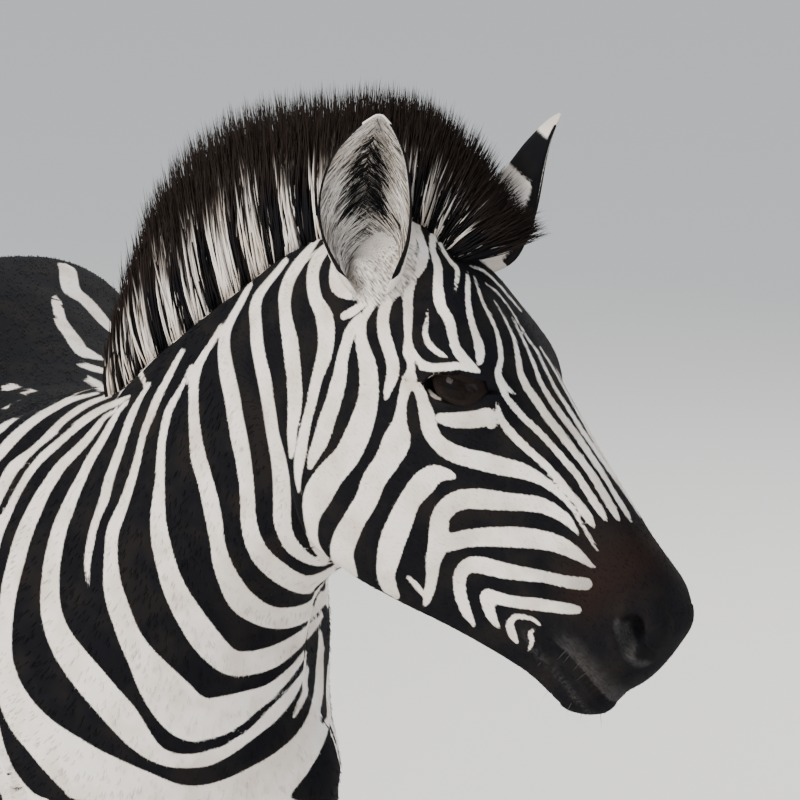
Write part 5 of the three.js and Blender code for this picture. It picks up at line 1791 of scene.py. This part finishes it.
skin_points, skin_faces = make_skin()
ear_parts = [make_ear(ear) for ear in EARS.values()]
all_points, all_faces = put_together([(skin_points, skin_faces), *[part[:2] for part in ear_parts]])
skin = add_piece("skin", all_points, all_faces, COAT, "coat", *FLESH, "ear_left", "ear_right")
skin_tree = BVHTree.FromPolygons([tuple(p) for p in skin_points], [tuple(f) for f in skin_faces.tolist()])
skin_marks = marks_on(skin_points, point_normals(skin_points, skin_faces), skin_tree)
skin_marks = pale_cups(skin_points, skin_marks)
brown, grey, bare_and_shade = muzzle_shades(skin_points)
plain_ears = [np.zeros(len(part[0])) for part in ear_parts]
for name, values, of_ears in (
    ("mark", skin_marks, [ear_mark(*part[2:]) for part in ear_parts]),
    ("tint", brown, plain_ears),
    ("lip", grey, plain_ears),
    # bare skin and painted shade: the muzzle's slits and crease, and the ears' cups deep down
    ("bare_and_shade", bare_and_shade, [ear_cup_shade(*part[2:]) for part in ear_parts]),
):
    set_attribute(skin, name, np.concatenate([values, *of_ears]))
set_attribute(skin, "lie", coat_lie(all_points))

for name, low, high in (("mane_rear", 0.0, 0.5), ("mane_front", 0.5, 1.0)):
    *hairs, t = mane_locks(low, high, MANE_LOCKS)
    add_locks(name, "long_hair", *hairs, mane_marks(t), dark_tip=1.0, replaced="mane")
add_locks("tail_hair", "long_hair", *tail_locks(), np.full(TAIL_LOCKS, ALL_BLACK), replaced="tail_tuft")
for number in range(TUFT_PIECES):
    add_locks(f"short_coat_{number}", "coat", *tuft_locks(skin_points, skin_faces, skin_marks))
for side, ear in EARS.items():
    *hairs, deep = ear_locks(ear)
    # locks ending deep in the cup are darkened as painted shade
    add_locks(f"ear_hair_{side}", "coat", *hairs, rng.normal(-0.4, 0.6, EAR_LOCKS) + 2.4 * deep)
add_locks("eyelashes", "long_hair", *lashes(), np.full(LASHES, ALL_BLACK))
bristles = whiskers(skin_points, skin_faces)
add_locks("whiskers", "long_hair", *bristles, np.full(len(bristles[0]), WHISKER_MARK))

for side, sign in SIDES:
    fore = make_hoof(FORE_ROWS, FORE_X, sign, sign * STAGGER, FORE_SOLE)
    add_piece(f"hoof_horn_fore_{side}", *fore, HORN, "hoof", f"hoof_fore_{side}")
    hind = make_hoof(HIND_ROWS, HIND_X, sign, -sign * STAGGER, HIND_SOLE)
    add_piece(f"hoof_horn_hind_{side}", *hind, HORN, "hoof", f"hoof_hind_{side}")


EYE_RINGS, EYE_SIDES = 40, 56
CORNEA_HEIGHT, CORNEA_SPREAD = 1.2, 0.5
IRIS_HALF = 0.62, 0.44  # the iris, long and tall, as shares of the eyeball's radii


def make_eye(sign):
    """An eyeball with a bulging cornea, and how far each point is from the middle of its iris."""
    rings, count = EYE_RINGS, EYE_SIDES
    polar = math.pi * (np.arange(rings) + 0.5) / rings
    turn = 2 * math.pi * np.arange(count) / count
    p, a = (grid.ravel() for grid in np.meshgrid(polar, turn, indexing="ij"))
    long, tall, deep = EYE["radii"]
    flat = np.sin(p)
    c, s = math.cos(math.radians(EYE["slope"])), math.sin(math.radians(EYE["slope"]))
    u, w, y = long * flat * np.cos(a), tall * flat * np.sin(a), deep * np.cos(p)
    y = y + CORNEA_HEIGHT * np.exp(-((p / CORNEA_SPREAD) ** 2))
    x, z = u * c - w * s, u * s + w * c
    at = EYE["at"]
    local = np.stack([at[0] + x, sign * (at[1] + y), at[2] + z], axis=1)
    points = HEAD.origin + local @ HEAD.axes
    iris = np.hypot(flat * np.cos(a) / IRIS_HALF[0], flat * np.sin(a) / IRIS_HALF[1])
    iris = np.where(p < math.pi / 2, iris, 3)
    faces = ring_faces(rings, count)
    points = np.vstack([points, points[:count].mean(axis=0), points[-count:].mean(axis=0)])
    return points, (faces if sign < 0 else faces[:, ::-1]), np.append(iris, [0, 3])


for side, sign in SIDES:
    points, faces, iris = make_eye(sign)
    eye = add_piece(f"eyeball_{side}", points, faces, EYE_WET, "eye", f"eye_{side}")
    set_attribute(eye, "iris", iris)

# ---------------------------------------------------------------- camera, lights and floor
SENSOR = 36
camera = bpy.data.objects.new("camera", bpy.data.cameras.new("camera"))
bpy.context.scene.collection.objects.link(camera)
camera.data.sensor_width = SENSOR
camera.data.lens = SENSOR * PICTURE_FOCUS / PICTURE
camera.data.clip_end = 200
camera.location = to_scene(CAMERA_PLACE)
camera.rotation_euler = (math.pi / 2 - CAMERA_RISE, 0, CAMERA_AZIMUTH)
bpy.context.scene.camera = camera

FLOOR = 60  # half the floor's width
corners = [(x * FLOOR, y * FLOOR, 0) for x, y in ((-1, -1), (1, -1), (1, 1), (-1, 1))]
floor_mesh = bpy.data.meshes.new("floor")
floor_mesh.from_pydata(corners, [], [(0, 1, 2, 3)])
floor = bpy.data.objects.new("floor", floor_mesh)
bpy.context.scene.collection.objects.link(floor)
paint = Nodes("pale floor")
paint.shader.inputs["Base Color"].default_value = FLOOR_PAINT
paint.shader.inputs["Roughness"].default_value = 0.9
floor_mesh.materials.append(paint.material)


def add_light(name, place, aim, size, power, colour):
    data = bpy.data.lights.new(name, "AREA")
    data.size, data.energy, data.color = size, power, colour
    lamp = bpy.data.objects.new(name, data)
    lamp.location = place
    direction = np.array(aim) - np.array(place)
    lamp.rotation_euler = (
        math.atan2(math.hypot(direction[0], direction[1]), -direction[2]),
        0,
        math.atan2(direction[1], direction[0]) - math.pi / 2,
    )
    bpy.context.scene.collection.objects.link(lamp)


add_light("key", (2.2, -4.5, 4.6), (0.5, 0, 1.2), 2.6, 520, (1.0, 0.96, 0.9))
add_light("fill", (6.0, 1.5, 2.5), (0.5, 0, 1.1), 4.0, 160, (0.9, 0.95, 1.0))
add_light("back", (-3.5, 3.5, 4.0), (0, 0, 1.0), 3.0, 220, (1.0, 0.98, 0.95))
world = bpy.data.worlds.new("sky")
world.use_nodes = True
background = world.node_tree.nodes["Background"]
background.inputs["Color"].default_value = SKY
background.inputs["Strength"].default_value = 0.75
bpy.context.scene.world = world
